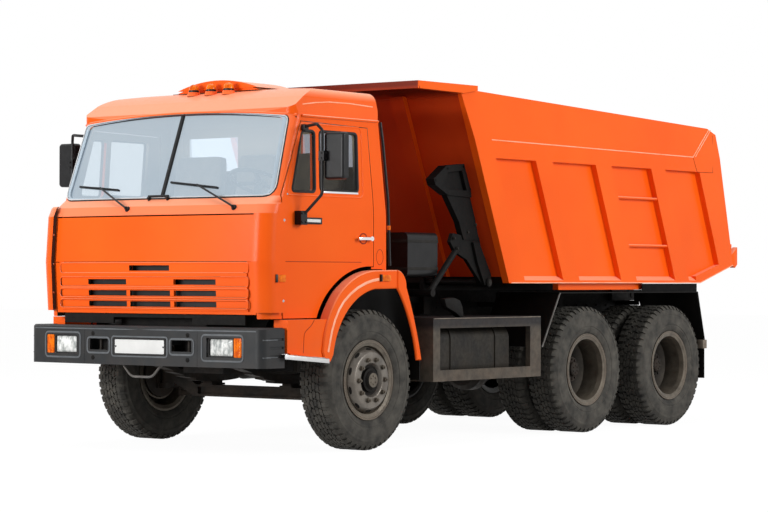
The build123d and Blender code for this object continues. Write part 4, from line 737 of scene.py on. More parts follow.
TYRE_R = 522
TYRE_HALF = 140
BEAD_R = 262
CARCASS_DROP = 13          # depth of the tread grooves
PITCHES = 52               # tread patterns round a tyre
TWIN_HALF = 160
SHOULDER_SHARE = 0.62      # of the pitch, taken by an outer lug
LUG_LEAN = 7               # how far an outer lug's edges lean along the tread
FOOT_SPREAD = (1.08, 1.1)  # growth of a lug's foot across and along the tread
TYRE_SIDE = [(0, TYRE_R - CARCASS_DROP), (100, TYRE_R - CARCASS_DROP), (115, 500), (127, 484),
             (134, 462), (137, 458), (138, 446), (136, 443), (138, 425), (TYRE_HALF, 395),
             (138, 362), (134, 358), (133, 350), (135, 346), (131, 330), (124, 316), (119, 308),
             (114, 306), (112, 303), (106, BEAD_R + 8), (98, BEAD_R)]     # (across, radius)
SHOULDER_LUG = [(70, TYRE_R), (104, TYRE_R), (122, 507), (130, 492), (122, 484), (112, 492),
                (98, 502), (72, 505)]     # (across, radius) round a lug that runs down the sidewall
# (across, share of the pitch, offset along the tread) of a lug's corners
MID_LUG = [(36, 0, 4), (62, 0, -4), (64, 0.6, 0), (50, 0.78, 0), (34, 0.66, 0)]
INNER_LUG = [(3, 0, 6), (28, 0.1, 6), (30, 0.72, 6), (16, 0.86, 6), (3, 0.7, 6)]


def around(across, radius, arc):
    """Point of a tyre about the X axis; arc is a length along the tread."""
    turn = arc / TYRE_R
    return Vector((across, radius * sin(turn), radius * cos(turn)))


def lug(corners):
    """Tread block on (across, arc length) corners, wider at its foot."""
    outer = [around(a, TYRE_R, s) for a, s in corners]
    middle = sum((Vector((a, s, 0)) for a, s in corners), Vector()) / len(corners)
    wide, long = FOOT_SPREAD
    foot = [around(middle.x + (a - middle.x) * wide, TYRE_R - CARCASS_DROP,
                   middle.y + (s - middle.y) * long) for a, s in corners]
    return loft([foot, outer])


def shoulder_lug(start, width, side):
    """Outer lug: from the tread over the shoulder and down the sidewall."""
    return loft([[around(side * a, r, s + lean * (1 - a / TYRE_HALF)) for a, r in SHOULDER_LUG]
                 for s, lean in ((start, LUG_LEAN), (start + width, -LUG_LEAN))])


def tyre_solid():
    """One tyre about the X axis, centred on the origin."""
    tyre = lathe(TYRE_SIDE + [(-a, r) for a, r in reversed(TYRE_SIDE[1:])], steps=96)
    pitch = 2 * pi * TYRE_R / PITCHES
    for i in range(PITCHES):
        for side in (1, -1):
            s = i * pitch
            inner = [(side * a, s + pitch * share + side * off) for a, share, off in INNER_LUG]
            if side < 0:
                s += pitch / 2
            mid = [(side * a, s + pitch * share + off) for a, share, off in MID_LUG]
            tyre.join(shoulder_lug(s, pitch * SHOULDER_SHARE, side), lug(mid), lug(inner))
    return tyre


FRONT_NUT_X = 150
FRONT_CAP_X = 166
TWIN_DISC_X = 14
TWIN_CAP_X = 168
TWIN_FLANGE_X = 132
FLANGE_X = 121             # outer face of a rim's flange from the middle of its tyre
NUTS = 10
NUT_R = 156
HAND_HOLES = 10
TWIN_TURN = 0.04           # turn of an inner tyre against the outer one, in radians

# (across, radius): the front wheel's raised disc, a dark ring of painted shade round the seat of
# its cap, the twins' hub
DISH = [(72, 247), (98, 243), (138, 214), (147, 206), (150, 198), (150, 134), (146, 127),
        (122, 114), (119, 104), (112, 104), (112, 190), (66, 243)]
HUB_SHADE = [(164.6, 54.5), (153, 67), (145, 71), (141, 88.5), (121, 91), (121, 105), (123, 114.5),
            (120, 114.5), (117, 105), (117, 80), (138, 69), (150, 60), (160, 50)]
TWIN_HUB = [(60, 104), (126, 104), (132, 98), (132, 62), (160, 58), (168, 48), (168, CORE_R),
            (60, CORE_R)]


def wheel_nuts(plane_x):
    ring = [2 * pi * (i + 0.5) / NUTS for i in range(NUTS)]
    return merged(nut((plane_x, NUT_R * sin(a), NUT_R * cos(a)), (1, 0, 0), 30, 22, 9)
                  for a in ring)


def ring_of(count, radius, plane_x, size, height):
    return nuts([(plane_x, radius * sin(a), radius * cos(a)) for a in turns(count)], (1, 0, 0),
                size, height)


def hand_holes():
    """Dark ovals of painted shade for the hand holes on the slope of the front wheel's disc."""
    spot, slope = Vector((119, 0, 229)), Vector((0.61, 0, 0.79))
    down = slope.cross(Vector((0, 1, 0)))
    hole = loft([[spot + slope * h + Vector((0, cos(a) * 30, 0)) + down * sin(a) * 11
                  for a in turns(20)] for h in (-2, 1.2)])
    return merged(hole.moved(Matrix.Rotation(a, 4, "X")) for a in turns(HAND_HOLES))


def edge_rings(x):
    """Painted highlights on the edges of a rim's flange."""
    return merged(lathe([(x + a, r + b) for a, b in circle(2.6, 8)], steps=72)
                  for r in (295, 281))


def wheels():
    one = tyre_solid()
    inner = one.moved(Matrix.Rotation(TWIN_TURN, 4, "X"))
    pair = merged((one.moved(Matrix.Translation((TWIN_HALF, 0, 0))),
                   inner.moved(Matrix.Translation((-TWIN_HALF, 0, 0)))))
    nuts_front = wheel_nuts(FRONT_NUT_X).join(ring_of(6, 30, FRONT_CAP_X, 12, 6))
    hub = wheel_nuts(TWIN_DISC_X).join(lathe(TWIN_HUB), ring_of(12, 82, TWIN_FLANGE_X, 18, 12),
                                       ring_of(6, 30, TWIN_CAP_X, 12, 6))
    front = [("nuts", nuts_front, RIM), ("dish", lathe(DISH, steps=72), RIM_BARE, 2),
             ("hand_holes", hand_holes(), CHASSIS), ("rim_edges", edge_rings(FLANGE_X), GREY_WEAR_AND_HIGHLIGHT),
             ("hub_shades", lathe(HUB_SHADE), CHASSIS)]
    twin = [("hub", hub, IRON), ("rim_edges", edge_rings(TWIN_HALF + FLANGE_X), GREY_WEAR_AND_HIGHLIGHT)]
    for side, label in SIDES:
        for axle, s, tread, rows in (("front", "", one, front), ("mid", "s", pair, twin),
                                     ("rear", "s", pair, twin)):
            end, body = f"{axle}_{label}", f"wheel{s}_{axle}_{label}"
            centre = back(Vector(JOINT[f"spin_{end}"]["pos_m"]))
            turn = Matrix.Translation(centre) @ Matrix.Rotation(0 if side > 0 else pi, 4, "Z")
            tyre = piece(f"tread_{end}", tread.moved(turn), body, RUBBER, "tyre_rubber", smooth=32)
            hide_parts(f"tyre{s}_{end}")
            for name, solid, mat, *bevel in rows:
                piece(f"{name}_{end}", solid.moved(turn), body, mat, "rim_paint", *bevel)


# ---- windscreen and cab front

# foot, half width there and at the top, top of the sides and of the middle, corner radius
SEAL_LINE = (1864, 1043, 1008, 2445, 2499, 90)
OPENING = (1878, 1008, 972, 2436, 2490, 62)
SCREEN_RAKE = 0.37         # how far the screen leans back for each unit up
ARC_STEPS = 28
SCREEN_STEP = 45           # longest stretch along the screen's edge
SHELL_Y = -600             # a ray that gets past this has gone in through the screen
GASKET = [(-13, -14), (-13, -1), (-7, 5), (2, 7), (9, 4), (12, -2), (12, -14)]
# share of the way from the seal to the opening, reach of the search and lift of each row
MARGIN = [(0.0, 4, 2.2), (0.35, 4, 4.5), (0.7, 6, 4.5), (1.0, 9, 3.0)]


def screen_loop(foot, half_foot, half_top, top, crown, corner):
    """Closed (x, z) line round the windscreen, with round corners and a crowned top."""
    arc = []
    for k in range(ARC_STEPS + 1):
        t = 1 - 2 * k / ARC_STEPS
        arc.append((half_top * t, top + (crown - top) * (1 - t * t), 0))
    corners = rounded([(0, foot, 0), (half_foot, foot, 0), arc[0], arc[1]], corner)[:-1]
    half = corners + [Vector(p) for p in arc[1:ARC_STEPS // 2 + 1]]
    return half + [Vector((-p.x, p.y, 0)) for p in reversed(half[1:-1])]


def seated(loop, reach, lift=0.0):
    """Loop of (x, z) points on the cab's skin, each found a little outside itself."""
    spots, normals = [], []
    for i, p in enumerate(loop):
        along = (loop[(i + 1) % len(loop)] - loop[i - 1]).normalized()
        q = p + Vector((along.y, -along.x, 0)) * reach
        spot, normal = on_screen(q.x, q.y)
        if spot is None or spot.y > SHELL_Y:
            spot, normal = on_screen(q.x * 0.97, q.y)
        normals.append(Vector((normal.x * 0.5, normal.y, normal.z)).normalized())
        y = spot.y - (q.y - p.y) * SCREEN_RAKE
        spots.append(Vector((p.x, y, p.y)) + normals[-1] * lift)
    return spots, normals


def shifted(row, inward, deeper):
    return [p + Vector((-inward if p.x > 0 else inward, deeper, 0)) for p in row]


def windscreen():
    """Seal with its light filler, the glass margin inside it, painted with the pale reflection the
    glass shows, and the middle bar.
    """
    outer, inner = screen_loop(*SEAL_LINE), screen_loop(*OPENING)
    pairs = []
    for k, here in enumerate(outer):
        m = (k + 1) % len(outer)
        n = parts_of(here, outer[m], SCREEN_STEP)
        pairs += [(here.lerp(outer[m], t / n), inner[k].lerp(inner[m], t / n)) for t in range(n)]
    spots, normals = seated([a for a, _ in pairs], 4)
    gasket = sweep(spots, GASKET, normals, closed=True)
    piece("screen_gasket", gasket, "cab", SEAL, "black_plastic")
    line = [s + n * 6 for s, n in zip(spots, normals)]
    strip = sweep(line, circle(5, 8, 0.8), normals, closed=True)
    piece("screen_strip", strip, "cab", FILLER, "lamp_lens")
    rows = [seated([a.lerp(b, t) for a, b in pairs], reach, lift)[0] for t, reach, lift in MARGIN]
    for inward, deeper in ((4, 0), (0, 26), (-2, 0)):
        rows.append(shifted(rows[-1], inward, deeper))
    rows.append(shifted(rows[0], 0, 3))
    margin = loft([list(ring) for ring in zip(*rows)], closed=True)
    piece("screen_margin", margin, "cab", SCREEN_EDGE_REFLECTION, "window_glass")
    top, foot = on_screen(0, 2482)[0], on_screen(-8, 1886)[0]
    bar = sweep([top + Vector((0, -4, 4)), foot + Vector((0, -4, -4))], rail(17, -4, 6, 10, 12),
                [(0, -1, 0.3)] * 2)
    piece("screen_bar", bar, "cab", SEAL, "black_plastic", 2)


WIPERS = [   # pivot (x, z), blade's two ends, share of the blade where the arm meets it
    ((773, 1781), (55, 1975), (517, 1927), 0.6),
    ((-258, 1784), (-909, 1963), (-469, 1928), 0.58),
]
BLADE = [(-7, -18), (-3, -20), (3, -20), (7, -18), (7, 3), (-7, 3)]
WASHER_BAR = [(-112, 1859), (-88, 1870), (60, 1870), (86, 1859)]     # (x, z)
UPRIGHT = (0, 0, 1)


def wipers():
    solid = Solid()
    for pivot, left, right, share in WIPERS:
        base, normal = from_front(*pivot)
        hub = base + normal * 26
        solid.join(rod(base - normal * 4, hub, 13), rod(base, base + normal * 6, 22))
        ends = [on_screen(*p) for p in (left, right)]
        a, b = [spot + n * 20 for spot, n in ends]
        up = ends[0][1]
        joint = a.lerp(b, share) + up * 16
        solid.join(sweep([a, b], BLADE, [up, up]))
        for p, q in ((0.14, 0.36), (0.64, 0.86)):
            p, q = a.lerp(b, p), a.lerp(b, q)
            solid.join(sweep([p, p + up * 9, q + up * 9, q], slab(5, -2, 2), [UPRIGHT] * 4))
        yoke = [a.lerp(b, 0.25) + up * 9, joint, a.lerp(b, 0.75) + up * 9]
        tail = Vector((30, 0, -14))
        solid.join(sweep(yoke, slab(8, -4, 4), [UPRIGHT] * 3),
                   pipe([hub, hub.lerp(joint, 0.3) + up * 6, joint], 7.5, 40),
                   pipe([hub + tail, joint.lerp(hub, 0.42) + tail * 0.7, joint], 3.5, 30))
    solid.join(pipe(carried(WASHER_BAR, from_front, 24)[0], 9, 16))
    for x in (-106, 80):
        spot, normal = from_front(x, 1852)
        solid.join(rod(spot - normal * 2, spot + normal * 26, 13))
    piece("wipers", solid, "cab", BLACK, "black_plastic")


SLOT_ROWS = [(1349, 38), (1247, 36), (1165, 33), (1085, 32)]     # (Z, half height)
PLAIN_ROW_Z = 1378         # height at which the grille's face is met between its slots


def grille_details():
    """Pressed borders of the grille's rows, the grooves above and the dark sheet of painted shade
    behind the slots.
    """
    beads, grooves = Solid(), Solid()
    for z, half in SLOT_ROWS:
        spots = [Vector((p.x, from_front(p.x, PLAIN_ROW_Z)[0].y + 1, p.y))
                 for p in flat_loop(rectangle(-938, 938, z - half, z + half, 26))]
        beads.join(sweep(spots, circle(6, 8), [(0, -1, 0)] * len(spots), closed=True))
    piece("grille_beads", beads, "nose", CAB_ORANGE, "cab_paint")
    for z, r in ((1736, 4.8), (1396, 6.0)):
        across = [(x, z) for x in range(-980, 981, 70)]
        grooves.join(line_on(across, from_front, circle(r, 8, 0.45)))
    piece("nose_grooves", grooves, "nose", SHADE_DARK, "cab_paint")
    backs = block((-655, 655), (-1092, -1088), (1048, 1384))
    piece("grille_backs", backs, "nose", BLACK, "black_plastic")


CORNER_SCREWS = [(-958, 1690, 17), (-964, 1114, 17), (-868, 1880, 13)]     # (Y, Z, size)


def clips():
    """Fasteners behind the corner panels' front edges and the screws at their rear ones."""
    bolts = nuts([(1004, -1142, z) for z in (1165, 1380, 1600)], (-1, 0, 0), 14, 7)
    piece("corner_clips", bolts.both(), "cab", RAM, "ram_steel")
    screws = Solid()
    for y, z, size in CORNER_SCREWS:
        spot, normal = from_left(y, z)
        head = [(-4, size * 0.62), (1, size * 0.62), (4, size * 0.4)]
        screws.join(turned(head, spot, normal, 20),
                    rod(spot + normal * 3, spot + normal * 7, size * 0.3, 6))
    piece("corner_screws", screws.both(), "cab", RAM, "ram_steel")


GUTTER_HALF = 1052
GUTTER_STEPS = 24          # across the header
GUTTER_SPAN = (-690, 225)  # Y of the side rails' ends
GUTTER_Z = 2452            # height of the side rails
GUTTER_POINTS = 19         # along a side rail
HEADER_RISE = 50           # of the front rail's middle above its ends
HEADER_HALF = 1062
ROOF_EDGE = [(-665, 2536), (-508, 2556), (-348, 2569), (-104, 2571), (166, 2561)]     # (Y, Z)


def gutter():
    """Drip rail along the header and both sides of the cab, with a painted shadow under its front
    and lines of painted highlight along its sides and the roof's edge.
    """
    header = []
    for k in range(GUTTER_STEPS + 1):
        x = GUTTER_HALF * (1 - 2 * k / GUTTER_STEPS)
        header.append((x, GUTTER_Z + HEADER_RISE * (1 - (x / HEADER_HALF) ** 2)))
    hits = [(s, n) for s, n in zip(*carried(header, on_screen)) if s.y < SHELL_Y]
    normals = [n for _, n in hits]
    front = sweep([s + n * 4 for s, n in hits], rail(9, -4, 6, 5, 9), normals)
    piece("gutter_front", front, "cab", CAB_ORANGE, "cab_paint", 1.5)
    under = sweep([s + n * 3 + Vector((0, 0, -13)) for s, n in hits], slab(5, -6, 5), normals)
    piece("gutter_shade", under, "cab", SHADE_DARK, "cab_paint")
    y0, y1 = GUTTER_SPAN
    line = [(y0 + (y1 - y0) * k / (GUTTER_POINTS - 1), GUTTER_Z) for k in range(GUTTER_POINTS)]
    line = carried(line, from_left)[0]
    outward = [(1, 0, 0)] * len(line)
    side = sweep([p + Vector((4, 0, 0)) for p in line], rail(9, -6, 6, 5, 9), outward)
    piece("gutter_sides", side.both(), "cab", CAB_ORANGE, "cab_paint", 1.5)
    # lines of painted highlight on the side rails and along the roof's edge
    highlights = sweep([p + Vector((13, 0, 5)) for p in line], circle(2.6, 6), outward)
    highlights.join(line_on(ROOF_EDGE, from_left, circle(4, 8, 0.5)))
    piece("roof_highlights", highlights.both(), "cab", HIGHLIGHT_ORANGE, "cab_paint")


ROOF_LAMPS = (-175, 0, 175)
ROOF_LAMP_Y = -480
ROOF_LAMP_RISE = 30
ABOVE_ROOF = 4200
STAND = [(-ROOF_LAMP_RISE - 8, CORE_R), (-ROOF_LAMP_RISE - 8, 52), (-8, 44), (-4, CORE_R)]
DOME = [(8, CORE_R), (8, 38), (28, 36), (44, 26), (52, 10), (53, CORE_R)]


def roof_lamps():
    roof = skin("cab_roof")
    bases, stands, domes = Solid(), Solid(), Solid()
    for x in ROOF_LAMPS:
        spot, _ = cast(roof, (x, ROOF_LAMP_Y, ABOVE_ROOF), (0, 0, -1))
        place = ((x, ROOF_LAMP_Y, spot.z + ROOF_LAMP_RISE), UPRIGHT, 24)
        bases.join(turned([(-6, 40), (6, 40), (8, 34)], *place))
        stands.join(lathe(STAND, *place))
        domes.join(lathe(DOME, *place))
    piece("roof_lamp_bases", bases, "cab", BLACK, "black_plastic")
    piece("roof_lamp_stands", stands, "cab", CAB_ORANGE, "cab_paint")
    piece("roof_lamp_domes", domes, "cab", AMBER_LENS, "lamp_lens")


# ---- doors and cab sides

WINDOWS = [
    [(-822, 1900), (-563, 1900), (-548, 2346), (-690, 2346)],
    [(-509, 1912), (-75, 1912), (-62, 2350), (-496, 2350)],
]
WINDOW_SEAL = [(-12, -16), (-12, 0), (-6, 5), (5, 5), (9, 0), (9, -16)]
SEAL_REACH = 14            # how far outside a pane the door's skin is met
DOOR_PRESS = [(-876, 1872), (-22, 1872), (-10, 2394), (-712, 2394)]
DOOR_SEAM_Y = -938
GROOVE_Z = 1395
SILL = [(-505, 1903), (-300, 1903), (-82, 1903)]
HANDLE_Z = 1570
OVAL = (169, 1435, 40, 57)         # centre and radii of the pressed oval behind the door


def window_seal(outline):
    """Rubber round one pane, seated on the door's skin beside the opening."""
    loop = flat_loop(outline, 35, 40)
    centre = sum(loop, Vector()) / len(loop)
    spots, normals = [], []
    for p in loop:
        q = p + (p - centre).normalized() * SEAL_REACH
        spot, normal = from_left(q.x, q.y)
        spots.append(Vector((spot.x, p.x, p.y)))
        normals.append(normal)
    return sweep(spots, WINDOW_SEAL, normals, closed=True)


def door_handle(x):
    """Handle on its two posts and the pressed cup behind it."""
    z = HANDLE_Z
    arm = [(x + 30, -112, z - 2), (x + 38, -60, z), (x + 38, 0, z), (x + 30, 40, z)]
    handle = sweep(arm, slab(10, -5, 5), [(1, 0, 0)] * 4)
    handle.join(rod((x - 4, 46, z), (x + 36, 46, z), 19, 24),
                rod((x - 4, -96, z), (x + 30, -96, z), 8))
    cup = turned([(-6, 42), (2.2, 42), (2.2, 35), (-3, 28)], steps=32)
    return handle, cup.moved(Matrix.Translation((x, -26, z)) @ Matrix.Diagonal((1, 1.15, 1, 1)))


def door_trim():
    """Window seals, handle, pressed lines and seams of the doors."""
    thin = circle(2.4, 8, 0.5)
    border = [(p.x, p.y) for p in flat_loop(DOOR_PRESS, 40)]
    y, z, wide, tall = OVAL
    oval = [(y + wide * cos(a), z + tall * sin(a)) for a in turns(32)]
    groove = [(y, GROOVE_Z) for y in range(-924, -48, 25)]
    seam = [(DOOR_SEAM_Y, z) for z in range(1010, 1850, 30)]
    handle, cup = door_handle(from_left(-30, HANDLE_Z)[0].x)
    one_each(
        ("window_seals_{}", merged(map(window_seal, WINDOWS)), "door_{}", SEAL,
         "black_plastic"),
        ("window_strip_{}", line_on(SILL, from_left, slab(7, -3, 5), 3), "door_{}", CHROME,
         "ram_steel", 1.5),
        ("door_presses_{}", line_on(border, from_left, circle(6, 8, 0.7), closed=True), "door_{}",
         BODY_ORANGE, "cab_paint"),
        ("door_grooves_{}", line_on(groove, from_left, thin), "door_{}", SHADE, "cab_paint"),
        ("door_handle_{}", handle, "door_{}", CHROME, "ram_steel", 3),
        ("handle_cup_{}", cup, "door_{}", SHADE, "cab_paint"),
        ("oval_press_{}", line_on(oval, from_left, thin, closed=True), "cab", SHADE, "cab_paint"),
        ("door_seam_{}", line_on(seam, from_left, circle(2.6, 8, 0.5), 1.0), "cab", SHADE,
         "cab_paint"))


def markers():
    """Repeaters on the cab's corners, lamps on the arches and the reflectors on the doors."""
    bases = block((1098, 1141), (-1052, -1041), (1246, 1304))
    bases.join(block((1180, 1203), (76, 90), (1252, 1306)))
    lenses = block((1098, 1139), (-1041, -952), (1249, 1301))
    lenses.join(block((1180, 1201), (90, 196), (1255, 1303)))
    x = from_left(-616, 1690)[0].x
    pad = block((x - 3, x + 14), (-712, -508), (1668, 1715))
    face = block((x + 12, x + 17), (-688, -528), (1681, 1703))
    one_each(("marker_bases_{}", bases, "cab", BLACK, "black_plastic", 3),
             ("marker_lenses_{}", lenses, "cab", AMBER_LENS, "lamp_lens", 6),
             ("reflector_pad_{}", pad, "door_{}", BLACK, "black_plastic", 3),
             ("reflector_{}", face, "door_{}", PLATE, "lamp_lens", 2))


def mirror_parts():
    """Reflecting faces, clamp screws and bracket bolts of the mirrors."""
    face = prism(rectangle(1262, 1417, 2000, 2310, 24), (-609, -605), "y")
    bolts = Solid()
    for z in (2136, 2174):
        bolts.join(nut((1284, -686, z), (1, 0, 0), 14, 8), nut((1262, -711, z), (0, -1, 0), 12, 7))
    bolts.join(nuts([(1150, y, z) for y in (-786, -744) for z in (1680, 1742)], (1, 0, 0), 13, 7))
    one_each(("mirror_face_{}", face, "door_{}", CHROME, "window_glass"),
             ("mirror_bolts_{}", bolts, "door_{}", BLACK, "black_plastic"))


ARCH_FACE = 1184
ARCH_BEAD = [(-530, 742), (-488, 892), (-451, 974), (-406, 1046), (-345, 1111), (-271, 1162),
             (-187, 1206), (-92, 1240), (-7, 1260), (66, 1269)]     # (Y, Z) where the lip shines
STEP_LINE = ((-1030, 734), (-531, 692))     # (Y, Z) along the top of the step's strip
RIBS = 7
STEP_SEAM = [(1170, -672, 978), (1170, -700, 940), (1170, -786, 886), (1170, -797, 740)]


def step_plate(low, high, x):
    """Sheet that follows the step's line between two heights."""
    (y0, z0), (y1, z1) = STEP_LINE
    return prism([(y0, z0 + low), (y1, z1 + low), (y1, z1 + high), (y0, z0 + high)], x)


def steps():
    """Ribbed aluminium strips on the fender steps, the seams there and a line of painted highlight
    along each arch's lip.
    """
    solid = step_plate(-1, 3, (1046, 1197)).join(step_plate(-31, 3, (1192, 1197)))
    for r in range(RIBS):
        solid.join(step_plate(3, 6, (1062 + r * 19, 1070 + r * 19)))
    piece("step_strips", solid.both(), "cab", ALUMINIUM, "ram_steel", 1)
    # painted highlight where the arch's lip catches the light
    line = fine([(ARCH_FACE, y, z) for y, z in ARCH_BEAD], LINE_STEP)
    bead = sweep(line, circle(11, 12, 0.35), [(1, 0, 0)] * len(line))
    piece("arch_highlights", bead.both(), "cab", HIGHLIGHT_ORANGE, "cab_paint")
    piece("step_seams", pipe(STEP_SEAM, 2.6, 30, 8).both(), "cab", SHADE, "cab_paint")


# ---- bumper and lamps

LAMP_X = (650, 892)
AMBER_X = (896, 967)
LAMP_Z = (712, 850)
LAMP_Y = -1236
PLATE_X = 250
PLATE_Z = (720, 828)
NOSE_Y = -1262             # foremost line of the bumper
NOSE_BOW = 34              # how far the bumper curves back at half its width
BUMPER_HALF = 1160
BEAD_RISE = 4.2
SILL_RISE = 2.5
BOLT_Y = -1257
TOW_X = 440
TOW_LOOP = [(-240, -1170, 655), (-221, -1190, 632), (-143, -1190, 552), (66, -1190, 552),
            (145, -1190, 632), (164, -1170, 655)]


def grown(span, by):
    return span[0] - by, span[1] + by


def bumper_loop(x0, x1, z0, z1, r):
    """Closed line on the bumper's bowed face, held back so that its bead stays inside it."""
    loop = flat_loop(rectangle(x0, x1, z0, z1, r))
    return [Vector((p.x, NOSE_Y + max(NOSE_BOW * (p.x / BUMPER_HALF) ** 2, BEAD_RISE), p.y))
            for p in loop]


def bumper_trim():
    """Borders of the recesses and lines along the edges in painted highlight, bolts, seams, a black
    sheet of painted shade in the tow openings, towing pins and the number plate's blank.
    """
    beads, seams, bolts, pins = Solid(), Solid(), Solid(), Solid()
    for side, loop in ((1, (606, 984, 684, 870, 34)), (1, (300, 530, 722, 836, 30)),
                       (0, (-276, 276, 702, 846, 24))):
        line = bumper_loop(*loop)
        bead = sweep(line, rail(7, -4, 2, 5, BEAD_RISE), [(0, -1, 0)] * len(line), closed=True)
        beads.join(bead.both() if side else bead)
    spots, normals = carried([(x, 899) for x in range(-1100, 1101, 100)], on_bumper)
    spots = [Vector((p.x, max(p.y, NOSE_Y + SILL_RISE), p.z)) for p in spots]
    beads.join(sweep(spots, circle(5, 8, 0.5), normals))
    for z in (838, 714):
        line = [(y, z) for y in range(-1210, -1030, 30)]
        beads.join(line_on(line, on_bumper_end, circle(5, 8, 0.5)).both())
    piece("bumper_highlight_beads", beads, "root", BUMPER_HIGHLIGHT, "bumper_paint")
    for x in (-562, 562):
        seams.join(line_on([(x, z) for z in range(640, 901, 20)], on_bumper, circle(2.4, 6, 0.5)))
    piece("bumper_seams", seams, "root", BLACK, "bumper_paint")
    # black sheets of painted shade inside the tow openings
    backs = block((225, 640), (-1124, -1119), (722, 846))
    piece("tow_backs", backs.both(), "root", BLACK, "black_plastic")
    for z in (865, 686):
        bolts.join(turned([(-4, 17), (1, 17), (3, 13)], (472, BOLT_Y, z), (0, -1, 0), 20),
                   rod((472, BOLT_Y, z), (472, BOLT_Y - 4.6, z), 6, 6))
    piece("bumper_bolts", bolts.both(), "root", CHASSIS, "frame_paint")
    pins.join(rod((TOW_X, -1200, 735), (TOW_X, -1200, 836), 12))
    for reach, y, z in ((34, (-1190, -1130), (738, 748)), (34, (-1190, -1130), (822, 832)),
                        (40, (-1136, -1128), (735, 835))):
        pins.join(block((TOW_X - reach, TOW_X + reach), y, z))
    piece("tow_pins", pins.both(), "root", IRON, "axle_iron", 2)
    plate_x = (-PLATE_X, PLATE_X)
    plate = prism(rectangle(*plate_x, *PLATE_Z, 8), (NOSE_Y + 4, NOSE_Y + 7), "y")
    piece("number_plate_blank", plate, "root", PLATE, "lamp_lens", 1)
    rim_out = rectangle(*grown(plate_x, 12), *grown(PLATE_Z, 12), 12)
    rim_in = rectangle(*grown(plate_x, -3), *grown(PLATE_Z, -3), 8)
    surround = frame_bar(rim_out, rim_in, (NOSE_Y, NOSE_Y + 7))
    surround.join(nuts([(x, NOSE_Y + 4, 774) for x in grown(plate_x, -14)], (0, -1, 0), 10, 4))
    piece("number_plate_frame", surround, "root", BLACK, "black_plastic")
    piece("tow_loop", pipe(TOW_LOOP, 9, 40), "root", STEEL_GREY, "frame_paint")


BOWL = [(0, 52), (4, 54), (40, 30), (46, 8), (46, CORE_R), (44, CORE_R), (38, 26), (4, 48), (0, 50)]
TAIL_Y = (4798, 4822)
TAIL_Z = (650, 750)


def lamp_units():
    """Headlamps, side indicators and tail lamps in place of the plain lamp blocks."""
    inner = rectangle(*grown(LAMP_X, -9), *grown(LAMP_Z, -9), 12)
    cx, cz = sum(LAMP_X) / 2, sum(LAMP_Z) / 2
    shells = frame_bar(rectangle(*LAMP_X, *LAMP_Z, 18), inner, (LAMP_Y, LAMP_Y + 60))
    shells.join(block(grown(LAMP_X, -2), (LAMP_Y + 58, LAMP_Y + 108), grown(LAMP_Z, -2)),
                block(AMBER_X, (LAMP_Y + 30, LAMP_Y + 108), LAMP_Z),
                block((760, 1120), (4771, 4800), (640, 760)))
    lenses = loft([[(cx + (x - cx) * k, LAMP_Y + t, cz + (z - cz) * k) for x, z in inner]
                   for t, k in ((16, 1), (12, 0.94), (5, 0.7), (2, 0.2))])
    lenses.join(block((1035, 1110), TAIL_Y, TAIL_Z))
    bowls = merged(lathe(BOWL, (cx + t, LAMP_Y + 18, cz), (0, 1, 0), 36) for t in (-52.2, 52.2))
    bowls.join(block(grown(LAMP_X, -8), (LAMP_Y + 50, LAMP_Y + 60), grown(LAMP_Z, -8)))
    ambers = prism(rectangle(*AMBER_X, *LAMP_Z, 10), (LAMP_Y - 2, LAMP_Y + 32), "y")
    for z in range(LAMP_Z[0] + 14, LAMP_Z[1] - 10, 20):
        ambers.join(block(grown(AMBER_X, -8), (LAMP_Y - 5, LAMP_Y), (z, z + 10)))
    ambers.join(block((945, 1025), TAIL_Y, TAIL_Z))
    reds = block((770, 935), TAIL_Y, TAIL_Z)
    shell = piece("lamp_shells", shells.both(), "root", BLACK, "black_plastic", 2)
    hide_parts("lamps")
    piece("lamp_bowls", bowls.both(), "root", CHROME, "lamp_lens")
    piece("lamp_lenses", lenses.both(), "root", CLEAR_LENS, "lamp_lens")
    piece("lamp_ambers", ambers.both(), "root", AMBER_LENS, "lamp_lens", 2)
    piece("lamp_reds", reds.both(), "root", RED_LENS, "lamp_lens", 3)


# ---- cabin

CELLS = 10                 # cuts across a cushion's face
CORNER_PULL = 0.06
SEAM_X, SEAM_HALF, SEAM_DEPTH = 0.55, 0.08, 0.05     # shares of the cushion's half width, height
WAIST = 0.035              # how far the sides pull in between the corners
CROWN = 0.16
# X, width, label and the Z of the base's foot
SEATS = [(600, 500, "driver", 1240), (-600, 520, "mate", 1240), (0, 420, "middle", 1440)]
DIALS = [(520, 48), (680, 48), (600, 30)]     # (X, radius)


def cushion(size, centre, lean=0.0):
    """Crowned closed form whose sides pull in between its corners."""
    w, d, h = size
    bm = bmesh.new()
    bmesh.ops.create_cube(bm, size=2.0)
    bmesh.ops.subdivide_edges(bm, edges=bm.edges, cuts=CELLS, use_grid_fill=True)
    turn = Matrix.Translation(centre) @ Matrix.Rotation(radians(lean), 4, "X")
    for v in bm.verts:
        x, y, z = v.co
        soft = 1 - CORNER_PULL * (abs(x) ** 4 + abs(y) ** 4 + abs(z) ** 4)
        puff = 1 + CROWN * (1 - x * x) * (1 - y * y)
        seam = 1 - SEAM_DEPTH * max(0.0, 1 - abs(abs(x) - SEAM_X) / SEAM_HALF)
        pull = 1 - WAIST * (1 - x * x) if abs(y) > 0.9 else 1
        v.co = turn @ Vector((x * soft * w / 2, y * soft * pull * d / 2,
                              z * soft * puff * seam * h / 2 / (1 + CROWN)))
    solid = Solid().add([v.co.copy() for v in bm.verts],
                        [[v.index for v in f.verts] for f in bm.faces])
    bm.free()
    return solid


